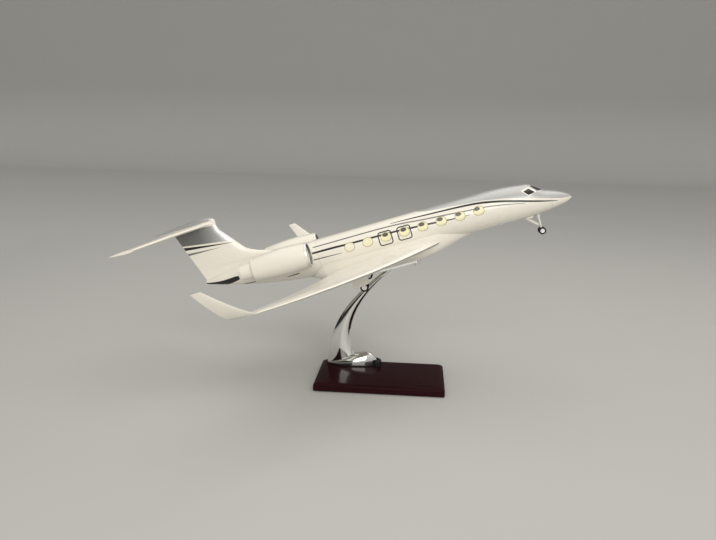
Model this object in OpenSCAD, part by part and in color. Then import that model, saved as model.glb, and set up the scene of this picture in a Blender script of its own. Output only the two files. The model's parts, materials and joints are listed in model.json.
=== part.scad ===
// Display model of a long-range business jet on a plated arm and a lacquered base.
// World frame: X towards the nose, Z up, origin in the middle of the underside of the base.
// Jet frame: x is the station forward of the tail end, z is measured from the fuselage axis.

/* [Base] */
// Length of the base board along the jet
base_length = 135.4; // [110:0.1:180]
// Depth of the base board across the jet
base_depth = 92; // [80:1:120]
// Height of the upright edge of the board
base_edge_h = 4.9; // [3:0.1:8]
// Height that the sloped border rises above the edge
base_bevel_h = 2.8; // [1:0.1:5]
// Width of the sloped border
base_bevel_w = 8; // [4:0.5:14]
// Radius of the corners of the board
base_corner_r = 3; // [1:0.5:8]
// Thickness of the felt under the board
felt_h = 0.8; // [0.5:0.1:2]
// Margin between the felt and the edge of the board
felt_inset = 4; // [2:0.5:8]

/* [Arm and foot] */
// Distance of the jet's centre plane behind the middle of the base
stand_back = 28; // [15:0.5:30]
// Forward place of the saddle, from the middle of the base
saddle_reach = 15.8; // [5:0.1:25]
// Height of the saddle's seat above the table
saddle_height = 123.3; // [110:0.1:150]
// Nose-up angle of the jet
jet_pitch = 17.9; // [10:0.1:22]
// Length of the plated foot
foot_length = 56; // [50:1:70]
// Width of the plated foot
foot_width = 20.5; // [18:0.5:28]
// Height of the plated foot at the arm
foot_height = 13; // [8:0.5:15]
// Forward end of the foot, behind the middle of the base
foot_front = 5.4; // [4:0.1:10]
// Thickness of the rubber sole under the foot
gasket_h = 1.4; // [1:0.1:4]
// Thickness of the rubber lip at the front of the foot
gasket_lip = 4.4; // [3:0.1:6]
// Thickness of the arm across the jet at its root
arm_root_t = 9.4; // [8:0.2:12]
// Thickness of the arm across the jet at its top
arm_top_t = 8; // [6:0.5:12]
// Thickness of the saddle plate
saddle_t = 2; // [1.5:0.1:3]
// Width of the saddle plate
saddle_w = 10; // [8:0.5:14]
// Diameter of the wood screws that hold the foot
foot_screw_d = 4; // [3:0.5:5]

/* [Saddle fastening] */
// Diameter of the thumb screw's shank
thumb_shank_d = 3; // [2.5:0.1:4]
// Diameter of the thumb screw's head
thumb_head_d = 7; // [6:0.1:9]
// Height of the thumb screw's head
thumb_head_h = 3.6; // [3:0.1:5]
// Distance of the thumb screw ahead of the saddle's station
thumb_ahead = 18; // [14:0.5:22]
// Distance of the locating pin behind the thumb screw
pin_spacing = 26; // [20:0.5:30]
// Diameter of the locating pin
pin_d = 3; // [2:0.1:4]
// Length of the locating pin
pin_h = 5; // [3:0.5:8]
// Radial clearance of pins and shanks in their bores
bore_gap = 0.08; // [0.05:0.01:0.1]

/* [Fuselage] */
// Outside diameter of the cabin
fuselage_d = 38.4; // [36:0.2:41]
// Depth of the cabin's middle below the axis of the windows
cabin_drop = 0.8; // [0:0.1:1.2]
// Wall of the moulded cabin halves
wall = 2; // [1.5:0.1:2.5]
// Station of the tip of the nose
nose_tip = 405.2; // [400:0.1:415]
// Station where the nose begins to taper
nose_start = 318; // [314:1:325]
// Station of the joint between cabin and radome
radome_joint = 383; // [381:0.5:388]
// Height of the nose tip below the axis
nose_drop = 11.2; // [9:0.1:12]
// Station of the joint between cabin and tail section
tail_joint = 132; // [130:0.5:140]
// Height of the tail end above the axis
tail_rise = 5.6; // [4:0.1:7]
// Depth of the belly fairing below the axis
belly_depth = 32.2; // [30:0.1:34]
// Station of the saddle under the belly
saddle_station = 212; // [205:1:220]

/* [Windows] */
// Number of cabin windows on a side
window_count = 8; // [6:1:8]
// Distance from window to window
window_pitch = 20.08; // [18:0.01:20.2]
// Station of the rearmost window
window_first = 167.2; // [165:0.1:170]
// Height of the windows above the axis
window_z = 2.8; // [1:0.1:4]
// Width of a window
window_w = 10.6; // [9:0.1:12]
// Height of a window
window_h = 9; // [7:0.1:10]
// Clearance round a window pane
pane_gap = 0.1; // [0.05:0.01:0.2]

/* [Wings] */
// Span over the tips of the winglets
wing_span = 467; // [440:1:480]
// Chord at the root
wing_root_chord = 111; // [100:1:115]
// Chord at the foot of the winglet
wing_tip_chord = 24; // [20:0.5:30]
// Chord at the tip of the winglet
winglet_tip_chord = 9; // [7:0.5:12]
// Station of the leading edge at the root
wing_root_le = 260; // [255:0.5:262]
// Distance that the leading edge sweeps back from root to winglet
wing_sweep = 158; // [140:1:165]
// Height that the wing rises from root to winglet
wing_rise = 13; // [8:0.5:16]
// Height of the winglet
winglet_h = 31; // [24:1:36]
// Distance that the winglet leans outboard
winglet_lean = 21.5; // [16:0.5:26]
// Distance that the winglet sweeps back at its leading edge
winglet_sweep = 32; // [26:1:38]
// Thickness of the root section as a share of its chord
wing_root_t = 0.09; // [0.085:0.005:0.12]
// Nose-down twist of the wing's end
wing_twist = 2; // [0:0.1:3]

/* [Tail] */
// Height of the top of the fin above the axis
fin_top = 74.9; // [73:0.1:78]
// Height of the tailplane above the axis
tailplane_z = 67.6; // [66:0.1:69]
// Span of the tailplane
tailplane_span = 150; // [140:1:170]
// Root chord of the tailplane
tailplane_root_chord = 46; // [42:0.5:48]
// Tip chord of the tailplane
tailplane_tip_chord = 28; // [22:0.5:32]
// Thickness of the tailplane at the root
tailplane_t = 5.2; // [3.4:0.1:5.4]
// Distance that the tailplane's leading edge sweeps back
tailplane_sweep = 62.5; // [50:0.5:65]
// Height that the tailplane drops towards its tips
tailplane_droop = 1.7; // [0:0.1:3]
// Height where the fin's leading edge bends upright
fin_bend_z = 58.2; // [56:0.1:60]
// Station of the fin's leading edge at that height
fin_bend_x = 32.2; // [31:0.1:34]
// Height where the fin's fillet starts
fillet_top = 34; // [30:0.5:38]

/* [Engines] */
// Distance of each engine from the centre plane
engine_y = 38; // [36:0.5:40]
// Height of the engines above the axis
engine_z = 9.4; // [8:0.1:11]
// Station of the intake lip
intake_x = 127; // [125:0.5:129]
// Length of the cowl with its lip
cowl_length = 61; // [56:0.5:64]
// Largest diameter of the cowl
cowl_d = 28.8; // [26:0.2:30]
// Diameter over the intake lip
lip_d = 26.2; // [24:0.2:27]
// Outside diameter of the exhaust nozzle
nozzle_d = 16; // [13:0.2:18]
// Length of the exhaust nozzle behind the cowl
nozzle_length = 14; // [10:0.5:18]
// Length of the rounded intake lip
lip_length = 2.5; // [2:0.1:4]
// Number of fan blades
fan_blades = 16; // [10:1:18]

/* [Landing gear] */
// Station of the nose wheels
nose_gear_x = 367.1; // [362:0.1:370]
// Depth of the nose axle below the axis
nose_axle_z = 37.8; // [34:0.1:40]
// Diameter of the nose tyres
nose_tyre_d = 7.8; // [6.5:0.1:9]
// Station of the main wheels
main_gear_x = 172.4; // [168:0.1:176]
// Distance of each main leg from the centre plane
main_gear_y = 34; // [31:0.5:36]
// Depth of the main axles below the axis
main_axle_z = 40; // [38:0.1:43]
// Diameter of the main tyres
main_tyre_d = 9.2; // [8:0.1:10.5]
// Width of a tyre
tyre_w = 3; // [2:0.1:3.4]
// Gap between the two wheels of a leg
wheel_spacing = 8; // [7.4:0.1:9]
// Diameter of the axles
axle_d = 1.4; // [1:0.1:1.8]
// Running clearance of the wheels on their axles
axle_gap = 0.06; // [0.04:0.01:0.1]

/* [Cabin light] */
// Diameter of a button cell
cell_d = 16; // [12:0.5:17]
// Height of a button cell
cell_h = 3.2; // [2:0.1:3.4]
// Travel of the light switch
switch_travel = 2.5; // [2:0.1:3]

/* [Hidden] */
$fn = 48;
eps = 0.01;
seat_gap = 0.15;
RIGHT = -1;
LEFT = 1;

// Placing

module on_stand() {
    translate([saddle_reach, stand_back, saddle_height])
        rotate([0, -jet_pitch, 0])
            translate([-saddle_station, 0, belly_depth])
                children();
}

// A point of the jet's centre plane, in world X and Z
function to_world(x, z) = [
    saddle_reach + (x - saddle_station) * cos(jet_pitch) - (z + belly_depth) * sin(jet_pitch),
    saddle_height + (x - saddle_station) * sin(jet_pitch) + (z + belly_depth) * cos(jet_pitch)];

// Lofting

function flatten(lists) = [for (part = lists) each part];

// A closed skin through rings that all have the same number of points.
// The points of a ring run clockwise, seen from the last ring.
module loft(rings) {
    n = len(rings[0]);
    last = len(rings) - 1;
    sides = [for (i = [0:last - 1], j = [0:n - 1])
        let (a = i * n + j, b = i * n + (j + 1) % n, c = a + n, d = b + n)
        each [[a, b, c], [b, d, c]]];
    start = [for (f = cap_faces(n)) reversed(f)];
    end = [for (f = cap_faces(n)) [for (j = f) last * n + j]];
    polyhedron(points = flatten(rings), faces = concat(sides, start, end), convexity = 8);
}

// Faces across a ring in strips, so that a hollow ring closes too
function cap_faces(n) = concat(
    [for (j = [0:floor(n / 2) - 2]) [j, j + 1, n - 2 - j, n - 1 - j]],
    n % 2 == 0 ? [] : [[(n - 3) / 2, (n - 1) / 2, (n + 1) / 2]]);

function reversed(list) = [for (i = [len(list) - 1:-1:0]) list[i]];

function bezier(p, t) =
    pow(1 - t, 3) * p[0] + 3 * t * pow(1 - t, 2) * p[1]
    + 3 * t * t * (1 - t) * p[2] + pow(t, 3) * p[3];

function blend(a, b, t) = a + (b - a) * t;

function ease(t) = (1 - cos(180 * min(1, max(0, t)))) / 2;

function clamp01(t) = min(1, max(0, t));

// Half thickness of a streamlined section at a share c of its chord
function foil(c) = 5 * (0.2969 * sqrt(c) - 0.126 * c - 0.3516 * c * c
    + 0.2843 * pow(c, 3) - 0.1036 * pow(c, 4)) + 0.04 * c;

FOIL_STEPS = 11;

// Points round a streamlined section: shares of the chord from the nose, and half thickness
function foil_points(thickness) = concat(
    [for (i = [0:FOIL_STEPS]) let (c = 1 - cos(90 * i / FOIL_STEPS)) [c, thickness * foil(c)]],
    [for (i = [FOIL_STEPS:-1:1]) let (c = 1 - cos(90 * i / FOIL_STEPS)) [c, -thickness * foil(c)]]);

module along_x() {
    rotate([0, 90, 0]) children();
}

module along_y() {
    rotate([-90, 0, 0]) children();
}

// Base

base_top = felt_h + base_edge_h + base_bevel_h;
board_half = [base_length / 2, base_depth / 2];
foot_mid = -foot_front - foot_length / 2;
foot_back = -foot_front - foot_length;
foot_base = base_top + gasket_h;
screw_places = [foot_back + foot_length * 0.42, foot_back + foot_length * 0.72];
screw_head_d = foot_screw_d * 2;
screw_head_h = 2.4;
screw_bite = 5;

module rounded_plate(half, height, radius) {
    linear_extrude(height) rounded_rectangle(half, radius);
}

module rounded_rectangle(half, radius) {
    union() {
        square([2 * (half[0] - radius), 2 * half[1]], center = true);
        square([2 * half[0], 2 * (half[1] - radius)], center = true);
        for (sx = [-1, 1], sy = [-1, 1])
            translate([sx * (half[0] - radius), sy * (half[1] - radius)])
                circle(r = radius);
    }
}

module base_board() {
    color("#3a0d14")
    difference() {
        union() {
            translate([0, 0, felt_h]) rounded_plate(board_half, base_edge_h, base_corner_r);
            base_crown();
        }
        for (x = screw_places) translate([x, stand_back, 0]) {
            translate([0, 0, felt_h - eps])
                cylinder(d = foot_screw_d + 2 * bore_gap, h = base_top);
            translate([0, 0, felt_h - eps])
                cylinder(d = screw_head_d + 0.4, h = screw_head_h + seat_gap);
        }
    }
}

// The sloped and rounded border, as rings that draw in while they rise
BEVEL_STEPS = 4;
module base_crown() {
    rings = [for (i = [0:BEVEL_STEPS]) let (t = i / BEVEL_STEPS)
        corner_ring(board_half - [1, 1] * base_bevel_w * (0.1 + 0.9 * (1 - cos(90 * t))),
            base_corner_r, felt_h + base_edge_h + base_bevel_h * sin(90 * t))];
    loft(reversed(rings));
}

function corner_ring(half, radius, z) = [
    for (q = [0:3], i = [0:4]) let (a = 90 * q + 22.5 * i,
        sx = (q == 0 || q == 3) ? 1 : -1, sy = q < 2 ? 1 : -1)
    [sx * (half[0] - radius) + radius * cos(a), sy * (half[1] - radius) + radius * sin(a), z]];

module base_felt() {
    color("#1c241f")
    rounded_plate(board_half - [1, 1] * felt_inset, felt_h, base_corner_r);
}

// Foot, arm and saddle: one plated casting

FOOT_SIDES = 20;

// Half width of the leaf-shaped foot at a share t from its tip to its blunt end
function foot_half(t) = foot_width / 2 * pow(sin(180 * pow(t, 1.1)), 0.6);

// Height of the foot at a share t from its tip to its blunt end, highest at the hump
foot_hump = 0.77;
foot_tip_h = 1.3;
function foot_rise(t) =
    t < foot_hump ? blend(foot_tip_h, foot_height, pow(ease(t / foot_hump), 0.85))
    : foot_height * sqrt(max(0.02, 1 - pow((t - foot_hump) / (1.005 - foot_hump), 2)));

function foot_ring(t) = [for (i = [0:FOOT_SIDES - 1])
    let (a = 180 * i / (FOOT_SIDES - 1), w = foot_half(t), h = foot_rise(t))
    [foot_back + foot_length * t, stand_back + w * cos(a), foot_base + h * pow(sin(a), 0.75)]];

module foot_body() {
    loft([for (t = [0.992, 0.975, 0.94, 0.9, 0.85, 0.77, 0.67, 0.58, 0.5, 0.4, 0.3, 0.2, 0.12, 0.06, 0.02])
        foot_ring(t)]);
}

// The two edges of the arm, seen from the side, as smooth curves from foot to saddle
saddle_rear = to_world(saddle_station - 18, -belly_depth - saddle_t);
saddle_mid = to_world(saddle_station - 5, -belly_depth - saddle_t);
arm_rise = saddle_mid[1] - foot_base;
arm_foot_z = foot_base + 0.2;
front_low = [-50, 0.33];
front_high = [-28.3, 0.7];
rear_low = [foot_back + 1.7, 0.4];
rear_high = [-41.8, 0.63];
front_edge = [[foot_back + foot_length * 0.64, arm_foot_z], up_arm(front_low), up_arm(front_high), saddle_mid];
rear_edge = [[foot_back + 0.5, arm_foot_z], up_arm(rear_low), up_arm(rear_high), saddle_rear];
ARM_STEPS = 16;
ARM_SIDES = 20;

// A point at a place along the base and a share of the arm's rise
function up_arm(p) = [p[0], foot_base + arm_rise * p[1]];

function arm_ring(t) =
    let (f = bezier(front_edge, t), r = bezier(rear_edge, t), m = (f + r) / 2,
        half = (f - r) / 2, thick = blend(arm_root_t, arm_top_t, t) / 2)
    [for (i = [0:ARM_SIDES - 1]) let (a = 360 * i / ARM_SIDES, c = cos(a), s = sin(a),
        along = sign(c) * pow(abs(c), 0.85), across = sign(s) * pow(abs(s), 0.85))
    [m[0] + half[0] * along, stand_back + thick * across, m[1] + half[1] * along]];

// The blade of the arm, cut off flush under the saddle plate
module arm_blade() {
    difference() {
        loft([for (i = [ARM_STEPS:-1:0]) arm_ring(i / ARM_STEPS)]);
        on_stand() translate([saddle_station - 60, -30, -belly_depth - saddle_gap])
            cube([120, 60, 30]);
    }
}

saddle_gap = 0.3;
thumb_x = saddle_station + thumb_ahead;
pin_x = thumb_x - pin_spacing;
saddle_from = saddle_station - 22;
saddle_eye_r = saddle_w / 2;

// Thin plate along the belly with a round eye for the thumb screw and a locating pin
module saddle_plate() {
    on_stand() {
        difference() {
            translate([0, 0, -belly_depth - saddle_gap - saddle_t]) union() {
                translate([saddle_from, -saddle_w / 2, 0]) cube([thumb_x - saddle_from, saddle_w, saddle_t]);
                translate([thumb_x, 0, 0]) cylinder(r = saddle_eye_r, h = saddle_t);
            }
            translate([thumb_x, 0, -belly_depth - saddle_gap - saddle_t - eps])
                cylinder(d = thumb_shank_d + 2 * bore_gap, h = saddle_t + 2 * eps);
        }
        translate([pin_x, 0, -belly_depth - saddle_gap - saddle_t / 2])
            cylinder(d = pin_d, h = pin_h + saddle_t / 2);
    }
}

module stand_arm() {
    color("silver")
    difference() {
        union() {
            foot_body();
            arm_blade();
            saddle_plate();
        }
        for (x = screw_places) translate([x, stand_back, foot_base - eps])
            cylinder(d = foot_screw_d + 2 * bore_gap, h = screw_bite + seat_gap);
    }
}

// Outline of the foot in plan, grown by a margin
module foot_plan(grow) {
    ts = [for (i = [0:14]) blend(0.02, 0.992, ease(i / 14))];
    pts = concat(
        [for (t = ts) [foot_back + foot_length * t + grow * (2 * t - 1), foot_half(t) + grow]],
        [for (i = [len(ts) - 1:-1:0]) let (t = ts[i])
            [foot_back + foot_length * t + grow * (2 * t - 1), -foot_half(t) - grow]]);
    translate([0, stand_back]) polygon(pts);
}

// Rounded lip of the gasket, which wraps the front end of the foot
gasket_lip_h = 6.5;
lip_arc = 62;
foot_end_r = 4.6;
module gasket_bead() {
    inner = foot_end_r + 0.3;
    translate([-foot_front - foot_end_r, stand_back, base_top]) rotate([0, 0, -lip_arc])
        rotate_extrude(angle = 2 * lip_arc) union() {
            translate([inner, 0]) square([gasket_lip, gasket_lip_h - gasket_lip / 2]);
            translate([inner + gasket_lip / 2, gasket_lip_h - gasket_lip / 2]) circle(d = gasket_lip);
        }
}

module foot_gasket() {
    color("#111111")
    difference() {
        union() {
            translate([0, 0, base_top]) linear_extrude(gasket_h) foot_plan(0.6);
            gasket_bead();
        }
        for (x = screw_places) translate([x, stand_back, base_top - eps])
            cylinder(d = foot_screw_d + 2 * bore_gap, h = gasket_h + 1);
    }
}

module foot_screws() {
    color("#8d9096")
    for (x = screw_places) translate([x, stand_back, felt_h + 0.05]) difference() {
        union() {
            cylinder(d = screw_head_d, h = screw_head_h);
            cylinder(d = foot_screw_d, h = base_top - felt_h + gasket_h + screw_bite);
        }
        for (a = [0, 90]) rotate([0, 0, a]) translate([-2.4, -0.5, -eps]) cube([4.8, 1, 1.2]);
    }
}

insert_d = 6;
insert_h = 7;
shank_reach = 6;
module thumb_screw() {
    color("silver")
    on_stand() translate([thumb_x, 0, -belly_depth - saddle_gap - saddle_t]) {
        translate([0, 0, -thumb_head_h - 0.05]) difference() {
            union() {
                cylinder(d = thumb_head_d - 1, h = thumb_head_h);
                translate([0, 0, 0.6]) cylinder(d = thumb_head_d, h = thumb_head_h - 1.4);
            }
            for (i = [0:11]) rotate([0, 0, 30 * i]) translate([thumb_head_d / 2, 0, -eps])
                cylinder(d = 0.7, h = thumb_head_h + 2 * eps, $fn = 16);
        }
        translate([0, 0, -0.1]) cylinder(d = thumb_shank_d, h = shank_reach + saddle_t + saddle_gap);
    }
}

module saddle_insert() {
    color("goldenrod")
    on_stand() translate([thumb_x, 0, -belly_depth]) difference() {
        cylinder(d = insert_d, h = insert_h);
        translate([0, 0, -eps]) cylinder(d = thumb_shank_d + 2 * bore_gap, h = insert_h - 0.5);
    }
}

// Fuselage

R = fuselage_d / 2;
crown_h = R - cabin_drop;
keel_h = R + cabin_drop;
windshield_top = nose_tip - 40.7;
windshield_foot = nose_tip - 26.5;
windshield_top_z = crown_h - 4.7;
windshield_foot_z = 3.5;
chin_start = nose_tip - 65.2;
crown_start = tail_joint - 22;
keel_start = tail_joint - 4;
tail_end_h = 3.8;
tail_end_w = 4;

function nose_share(x) = clamp01((x - nose_start) / (nose_tip - nose_start));

// Height of the crown at a station
function crown(x) =
    x < crown_start ? crown_h - (crown_h - tail_rise - tail_end_h / 2)
        * pow((crown_start - x) / crown_start, 2)
    : x < nose_start ? crown_h
    : x < windshield_top ? crown_h - (crown_h - windshield_top_z)
        * pow((x - nose_start) / (windshield_top - nose_start), 1.85)
    : x < windshield_foot ? blend(windshield_top_z, windshield_foot_z,
        (x - windshield_top) / (windshield_foot - windshield_top))
    : -nose_drop + (windshield_foot_z + nose_drop)
        * pow(max(0, 1 - pow((x - windshield_foot) / (nose_tip - windshield_foot), 1.05)), 0.64);

// Height of the keel at a station
function keel(x) =
    x < keel_start ? -keel_h + (keel_h + tail_rise - tail_end_h / 2)
        * pow((keel_start - x) / keel_start, 1.65)
    : x < chin_start ? -keel_h
    : -nose_drop - (keel_h - nose_drop)
        * pow(max(0, 1 - pow((x - chin_start) / (nose_tip - chin_start), 2.2)), 0.5);

// Half width of the fuselage at a station
function half_width(x) =
    x < tail_joint - 8 ? R - (R - tail_end_w / 2) * pow((tail_joint - 8 - x) / (tail_joint - 8), 1.7)
    : R * pow(max(0, 1 - pow(nose_share(x), 2)), 0.6);

// Height of the widest point at a station
function waist(x) =
    x < nose_start ? (crown(x) + keel(x)) / 2
    : -cabin_drop - (nose_drop - cabin_drop) * pow(nose_share(x), 1.5);

function hull_point(x, a, inset) =
    let (c = waist(x), up = crown(x) - inset - c, down = c - keel(x) - inset)
    [x, (half_width(x) - inset) * cos(a), c + (sin(a) > 0 ? up : down) * sin(a)];

HULL_STEP = 9;
function hull_ring(x, inset) = [for (a = [360:-HULL_STEP:1]) hull_point(x, a, inset)];

// One moulded half: a C-shaped ring from crown to keel, with its inner wall
function half_ring(x, side, thick) = concat(
    [for (a = [-90:HULL_STEP:90]) let (p = hull_point(x, a, 0)) [p[0], side * p[1] + side * seam, p[2]]],
    [for (a = [90:-HULL_STEP:-90]) let (p = hull_point(x, a, thick))
        [p[0], side * p[1] + side * seam, p[2]]]);
seam = 0.02;

NOSE_STATIONS = 8;
cabin_stations = concat([tail_joint, nose_start],
    [for (i = [1:4]) blend(nose_start, windshield_top - 4, i / 4)],
    [windshield_top, blend(windshield_top, windshield_foot, 0.5), windshield_foot, radome_joint]);
radome_stations = [for (i = [0:NOSE_STATIONS]) blend(radome_joint, nose_tip - 0.05,
    sin(90 * i / NOSE_STATIONS))];
tail_stations = [for (i = [0:12]) tail_joint * i / 12];

spigot = 5;
ledge_z = -8;
ledge_t = 1.4;
ledge_w = 6;
ledge_from = window_first - 12;
ledge_to = nose_start - 8;
board_half_w = sqrt(pow(R - wall, 2) - pow(ledge_z + cabin_drop, 2)) - 1;
lead_x = window_first + 10;

function window_x(i) = window_first + i * window_pitch;

// Outline of a cabin window, an oval a little squarer than an ellipse
module window_outline(grow) {
    polygon([for (a = [0:18:342]) let (c = cos(a), s = sin(a))
        [(window_w / 2 + grow) * sign(c) * pow(abs(c), 0.88),
         (window_h / 2 + grow) * sign(s) * pow(abs(s), 0.88)]]);
}

module window_prisms(side, grow) {
    for (i = [0:window_count - 1])
        translate([window_x(i), side * (R - 7), window_z]) rotate([90, 0, 0])
            linear_extrude(16, center = true) window_outline(grow);
}

// Side pane of the cockpit, seen from the side
side_pane = [[-48.4, 8.7], [-42.2, 10], [-36.4, 4.8], [-43.9, 4]];
// One windshield pane, seen from the front
front_pane = [[0.7, 11.6], [6.4, 10.9], [9.6, 5.4], [0.7, 4.5]];

module cockpit_prisms(side, grow) {
    translate([nose_tip, side * 10, 0]) rotate([90, 0, 0]) linear_extrude(16, center = true)
        grown(side_pane, grow);
    translate([windshield_top - 2, 0, 0]) rotate([90, 0, 90]) linear_extrude(14)
        mirror([side > 0 ? 0 : 1, 0]) grown(front_pane, grow);
}

// A polygon with every corner pushed out from its middle
module grown(pts, grow) {
    mid = [for (k = [0, 1]) (pts[0][k] + pts[1][k] + pts[2][k] + pts[3][k]) / 4];
    polygon([for (p = pts) p + grow * 1.4 * (p - mid) / norm(p - mid)]);
}

module fuselage_half(side) {
    difference() {
        union() {
            loft([for (x = side > 0 ? reversed(cabin_stations) : cabin_stations)
                half_ring(x, side, wall)]);
            board_ledge(side);
        }
        window_prisms(side, 0);
        cockpit_prisms(side, 0);
        lead_hole();
        translate([nose_gear_x, 0, keel(nose_gear_x) - 1])
            cylinder(d = nose_leg_d + 2 * bore_gap, h = nose_leg_bite + 2);
    }
}

// Ledge inside the cabin wall that carries the light board
module board_ledge(side) {
    intersection() {
        translate([ledge_from, side > 0 ? R - wall - ledge_w : wall - R, ledge_z - ledge_t])
            cube([ledge_to - ledge_from, ledge_w, ledge_t]);
        translate([ledge_from, 0, -cabin_drop]) along_x()
            cylinder(r = R - wall / 2, h = ledge_to - ledge_from);
    }
}

module lead_hole() {
    translate([lead_x, 0, -keel_h - 1]) cylinder(d = 4, h = wall + 2);
}

module fuselage_right() {
    color("white") on_stand() fuselage_half(RIGHT);
}

module fuselage_left() {
    color("white") on_stand() fuselage_half(LEFT);
}

module nose_cone() {
    color("white") on_stand() {
        loft([for (x = radome_stations) hull_ring(x, 0)]);
        translate([radome_joint - spigot, 0, waist(radome_joint)]) along_x()
            cylinder(r = half_width(radome_joint) * 0.5, h = spigot + 1);
    }
}

module tail_hull() {
    loft([for (x = tail_stations) hull_ring(x, 0)]);
}

module tail_section() {
    color("white") on_stand() difference() {
        union() {
            tail_hull();
            translate([tail_joint - 1, 0, -cabin_drop]) along_x()
                cylinder(r = R - wall - seat_gap, h = spigot + 1);
        }
        for (side = [RIGHT, LEFT]) pylon_blank(side, pylon_gap);
        fin_tongue(seat_gap);
    }
}

// Glazing: panes cut from the outer skin of the nose
pane_t = 1.2;
module cockpit_glazing() {
    color("#15181c") on_stand() intersection() {
        difference() {
            loft([for (x = glazing_stations) hull_ring(x, 0)]);
            loft([for (x = glazing_inner) hull_ring(x, pane_t)]);
        }
        for (side = [RIGHT, LEFT]) intersection() {
            cockpit_prisms(side, -pane_gap);
            translate([nose_tip - 60, side > 0 ? 0.3 : -30.3, -20]) cube([50, 30, 50]);
        }
    }
}
glazing_stations = [for (x = cabin_stations) if (x > windshield_top - 30) x];
glazing_inner = concat([glazing_stations[0] - 1], [for (i = [1:len(glazing_stations) - 2]) glazing_stations[i]],
    [radome_joint + 1]);

// Clear strip behind each wall, with a raised pane in every window
strip_t = 0.8;
strip_gap = 0.1;
module window_strip(side) {
    x0 = window_x(0) - window_w;
    length = window_x(window_count - 1) + window_w - x0;
    intersection() {
        union() {
            intersection() {
                window_prisms(side, -pane_gap);
                tube_x(x0, length, R - 0.15, R - wall - strip_gap - 0.2);
            }
            tube_x(x0, length, R - wall - strip_gap, R - wall - strip_gap - strip_t);
        }
        translate([x0 - 1, side > 0 ? 5 : -30, window_z - window_h / 2 - 1.5])
            cube([length + 2, 25, window_h + 3]);
    }
}

module tube_x(x0, length, outer, inner) {
    translate([x0, 0, -cabin_drop]) along_x() difference() {
        cylinder(r = outer, h = length, $fn = 96);
        translate([0, 0, -1]) cylinder(r = inner, h = length + 2, $fn = 96);
    }
}

module window_strip_right() {
    color("#f2eec4") on_stand() window_strip(RIGHT);
}

module window_strip_left() {
    color("#f2eec4") on_stand() window_strip(LEFT);
}

// Cabin light

board_t = 1;
module light_board() {
    color("#1f6b3a") on_stand() {
        translate([ledge_from + 2, -board_half_w, ledge_z + 0.02])
            cube([ledge_to - ledge_from - 4, 2 * board_half_w, board_t]);
        for (i = [0:window_count - 1]) translate([window_x(i), 0, ledge_z + board_t + 0.02])
            translate([-1.75, -1.4, -eps]) cube([3.5, 2.8, 1.2]);
    }
}

lead_d = 1.1;
module battery_lead() {
    color("#b01818") on_stand()
    for (s = [-1, 1]) translate([lead_x + s * 0.8, 0, cell_top_z + 0.05])
        cylinder(d = lead_d, h = ledge_z - cell_top_z - 0.08);
}

cover_t = 1.6;
cover_l = 30;
cover_w = 21;
cover_x = lead_x - 2;
cell_x = cover_x + 3;
cell_count = 2;
cell_bottom_z = -belly_depth + cover_t + seat_gap;
cell_top_z = cell_bottom_z + cell_count * cell_h + 0.05;

module button_cells() {
    color("silver") on_stand()
    for (i = [0:cell_count - 1]) translate([cell_x, 0, cell_bottom_z + i * (cell_h + 0.02)]) {
        cylinder(d = cell_d, h = cell_h * 0.72);
        cylinder(d = cell_d - 1.6, h = cell_h);
    }
}

cover_screw_x = cover_x - cover_l / 2 + 3.6;
cover_screw_d = 1.8;
module battery_cover() {
    color("white") on_stand() difference() {
        translate([cover_x, 0, -belly_depth])
            rounded_plate([cover_l / 2 - seat_gap, cover_w / 2 - seat_gap], cover_t, 2);
        translate([cover_screw_x, 0, -belly_depth - eps]) {
            cylinder(d = cover_screw_d + 2 * bore_gap, h = cover_t + 1);
            cylinder(d = 3.6, h = 0.9);
        }
    }
}

module cover_screw() {
    color("#8d9096") on_stand() translate([cover_screw_x, 0, -belly_depth + 0.05]) difference() {
        union() {
            cylinder(d = 3.4, h = 0.8);
            cylinder(d = cover_screw_d, h = cover_t + 4);
        }
        for (a = [0, 90]) rotate([0, 0, a]) translate([-1.1, -0.25, -eps]) cube([2.2, 0.5, 0.5]);
    }
}

switch_x = cover_x - cover_l / 2 - 9;
switch_l = 3.4;
switch_w = 2.4;
switch_depth = 1.6;
switch_proud = 0.7;
slide_gap = 0.1;
module light_switch() {
    color("#222222") on_stand()
    translate([switch_x, -switch_w / 2, -belly_depth - switch_proud])
        cube([switch_l, switch_w, switch_depth + switch_proud - 0.1]);
}

// Belly fairing

fairing_from = tail_joint - 22;
fairing_to = nose_start - 8;
fairing_flat_from = fairing_from + 35;
fairing_flat_to = saddle_station + 24;
fairing_half = 17.5;
fairing_shoulder = -7;
fairing_stations = concat([for (i = [0:6]) blend(fairing_from, fairing_flat_from, i / 6)],
    [for (i = [0:9]) blend(fairing_flat_to, fairing_to, i / 9)]);

fairing_end = keel_h - 0.5;

function fairing_depth(x) = x < fairing_flat_from
    ? blend(fairing_end, belly_depth, ease((x - fairing_from) / (fairing_flat_from - fairing_from)))
    : blend(belly_depth, fairing_end, ease((x - fairing_flat_to) / (fairing_to - fairing_flat_to)));

// How far the fairing has grown at a station, from its ends to its flat middle
function fairing_share(x) = (fairing_depth(x) - fairing_end) / (belly_depth - fairing_end);

function fairing_width(x) = blend(8, fairing_half + 2.2, pow(fairing_share(x), 0.75));

// A ring that is round at the ends of the fairing and squarer in the middle
function fairing_ring(x) =
    let (w = fairing_width(x), k = blend(0.95, 0.55, fairing_share(x)))
    concat([[x, w, fairing_shoulder], [x, -w, fairing_shoulder]],
        [for (i = [1:17]) let (a = 180 + 10 * i, c = cos(a), s = sin(a))
            [x, w * sign(c) * pow(abs(c), k),
                fairing_shoulder - (fairing_depth(x) + fairing_shoulder) * pow(abs(s), k)]]);

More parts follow.
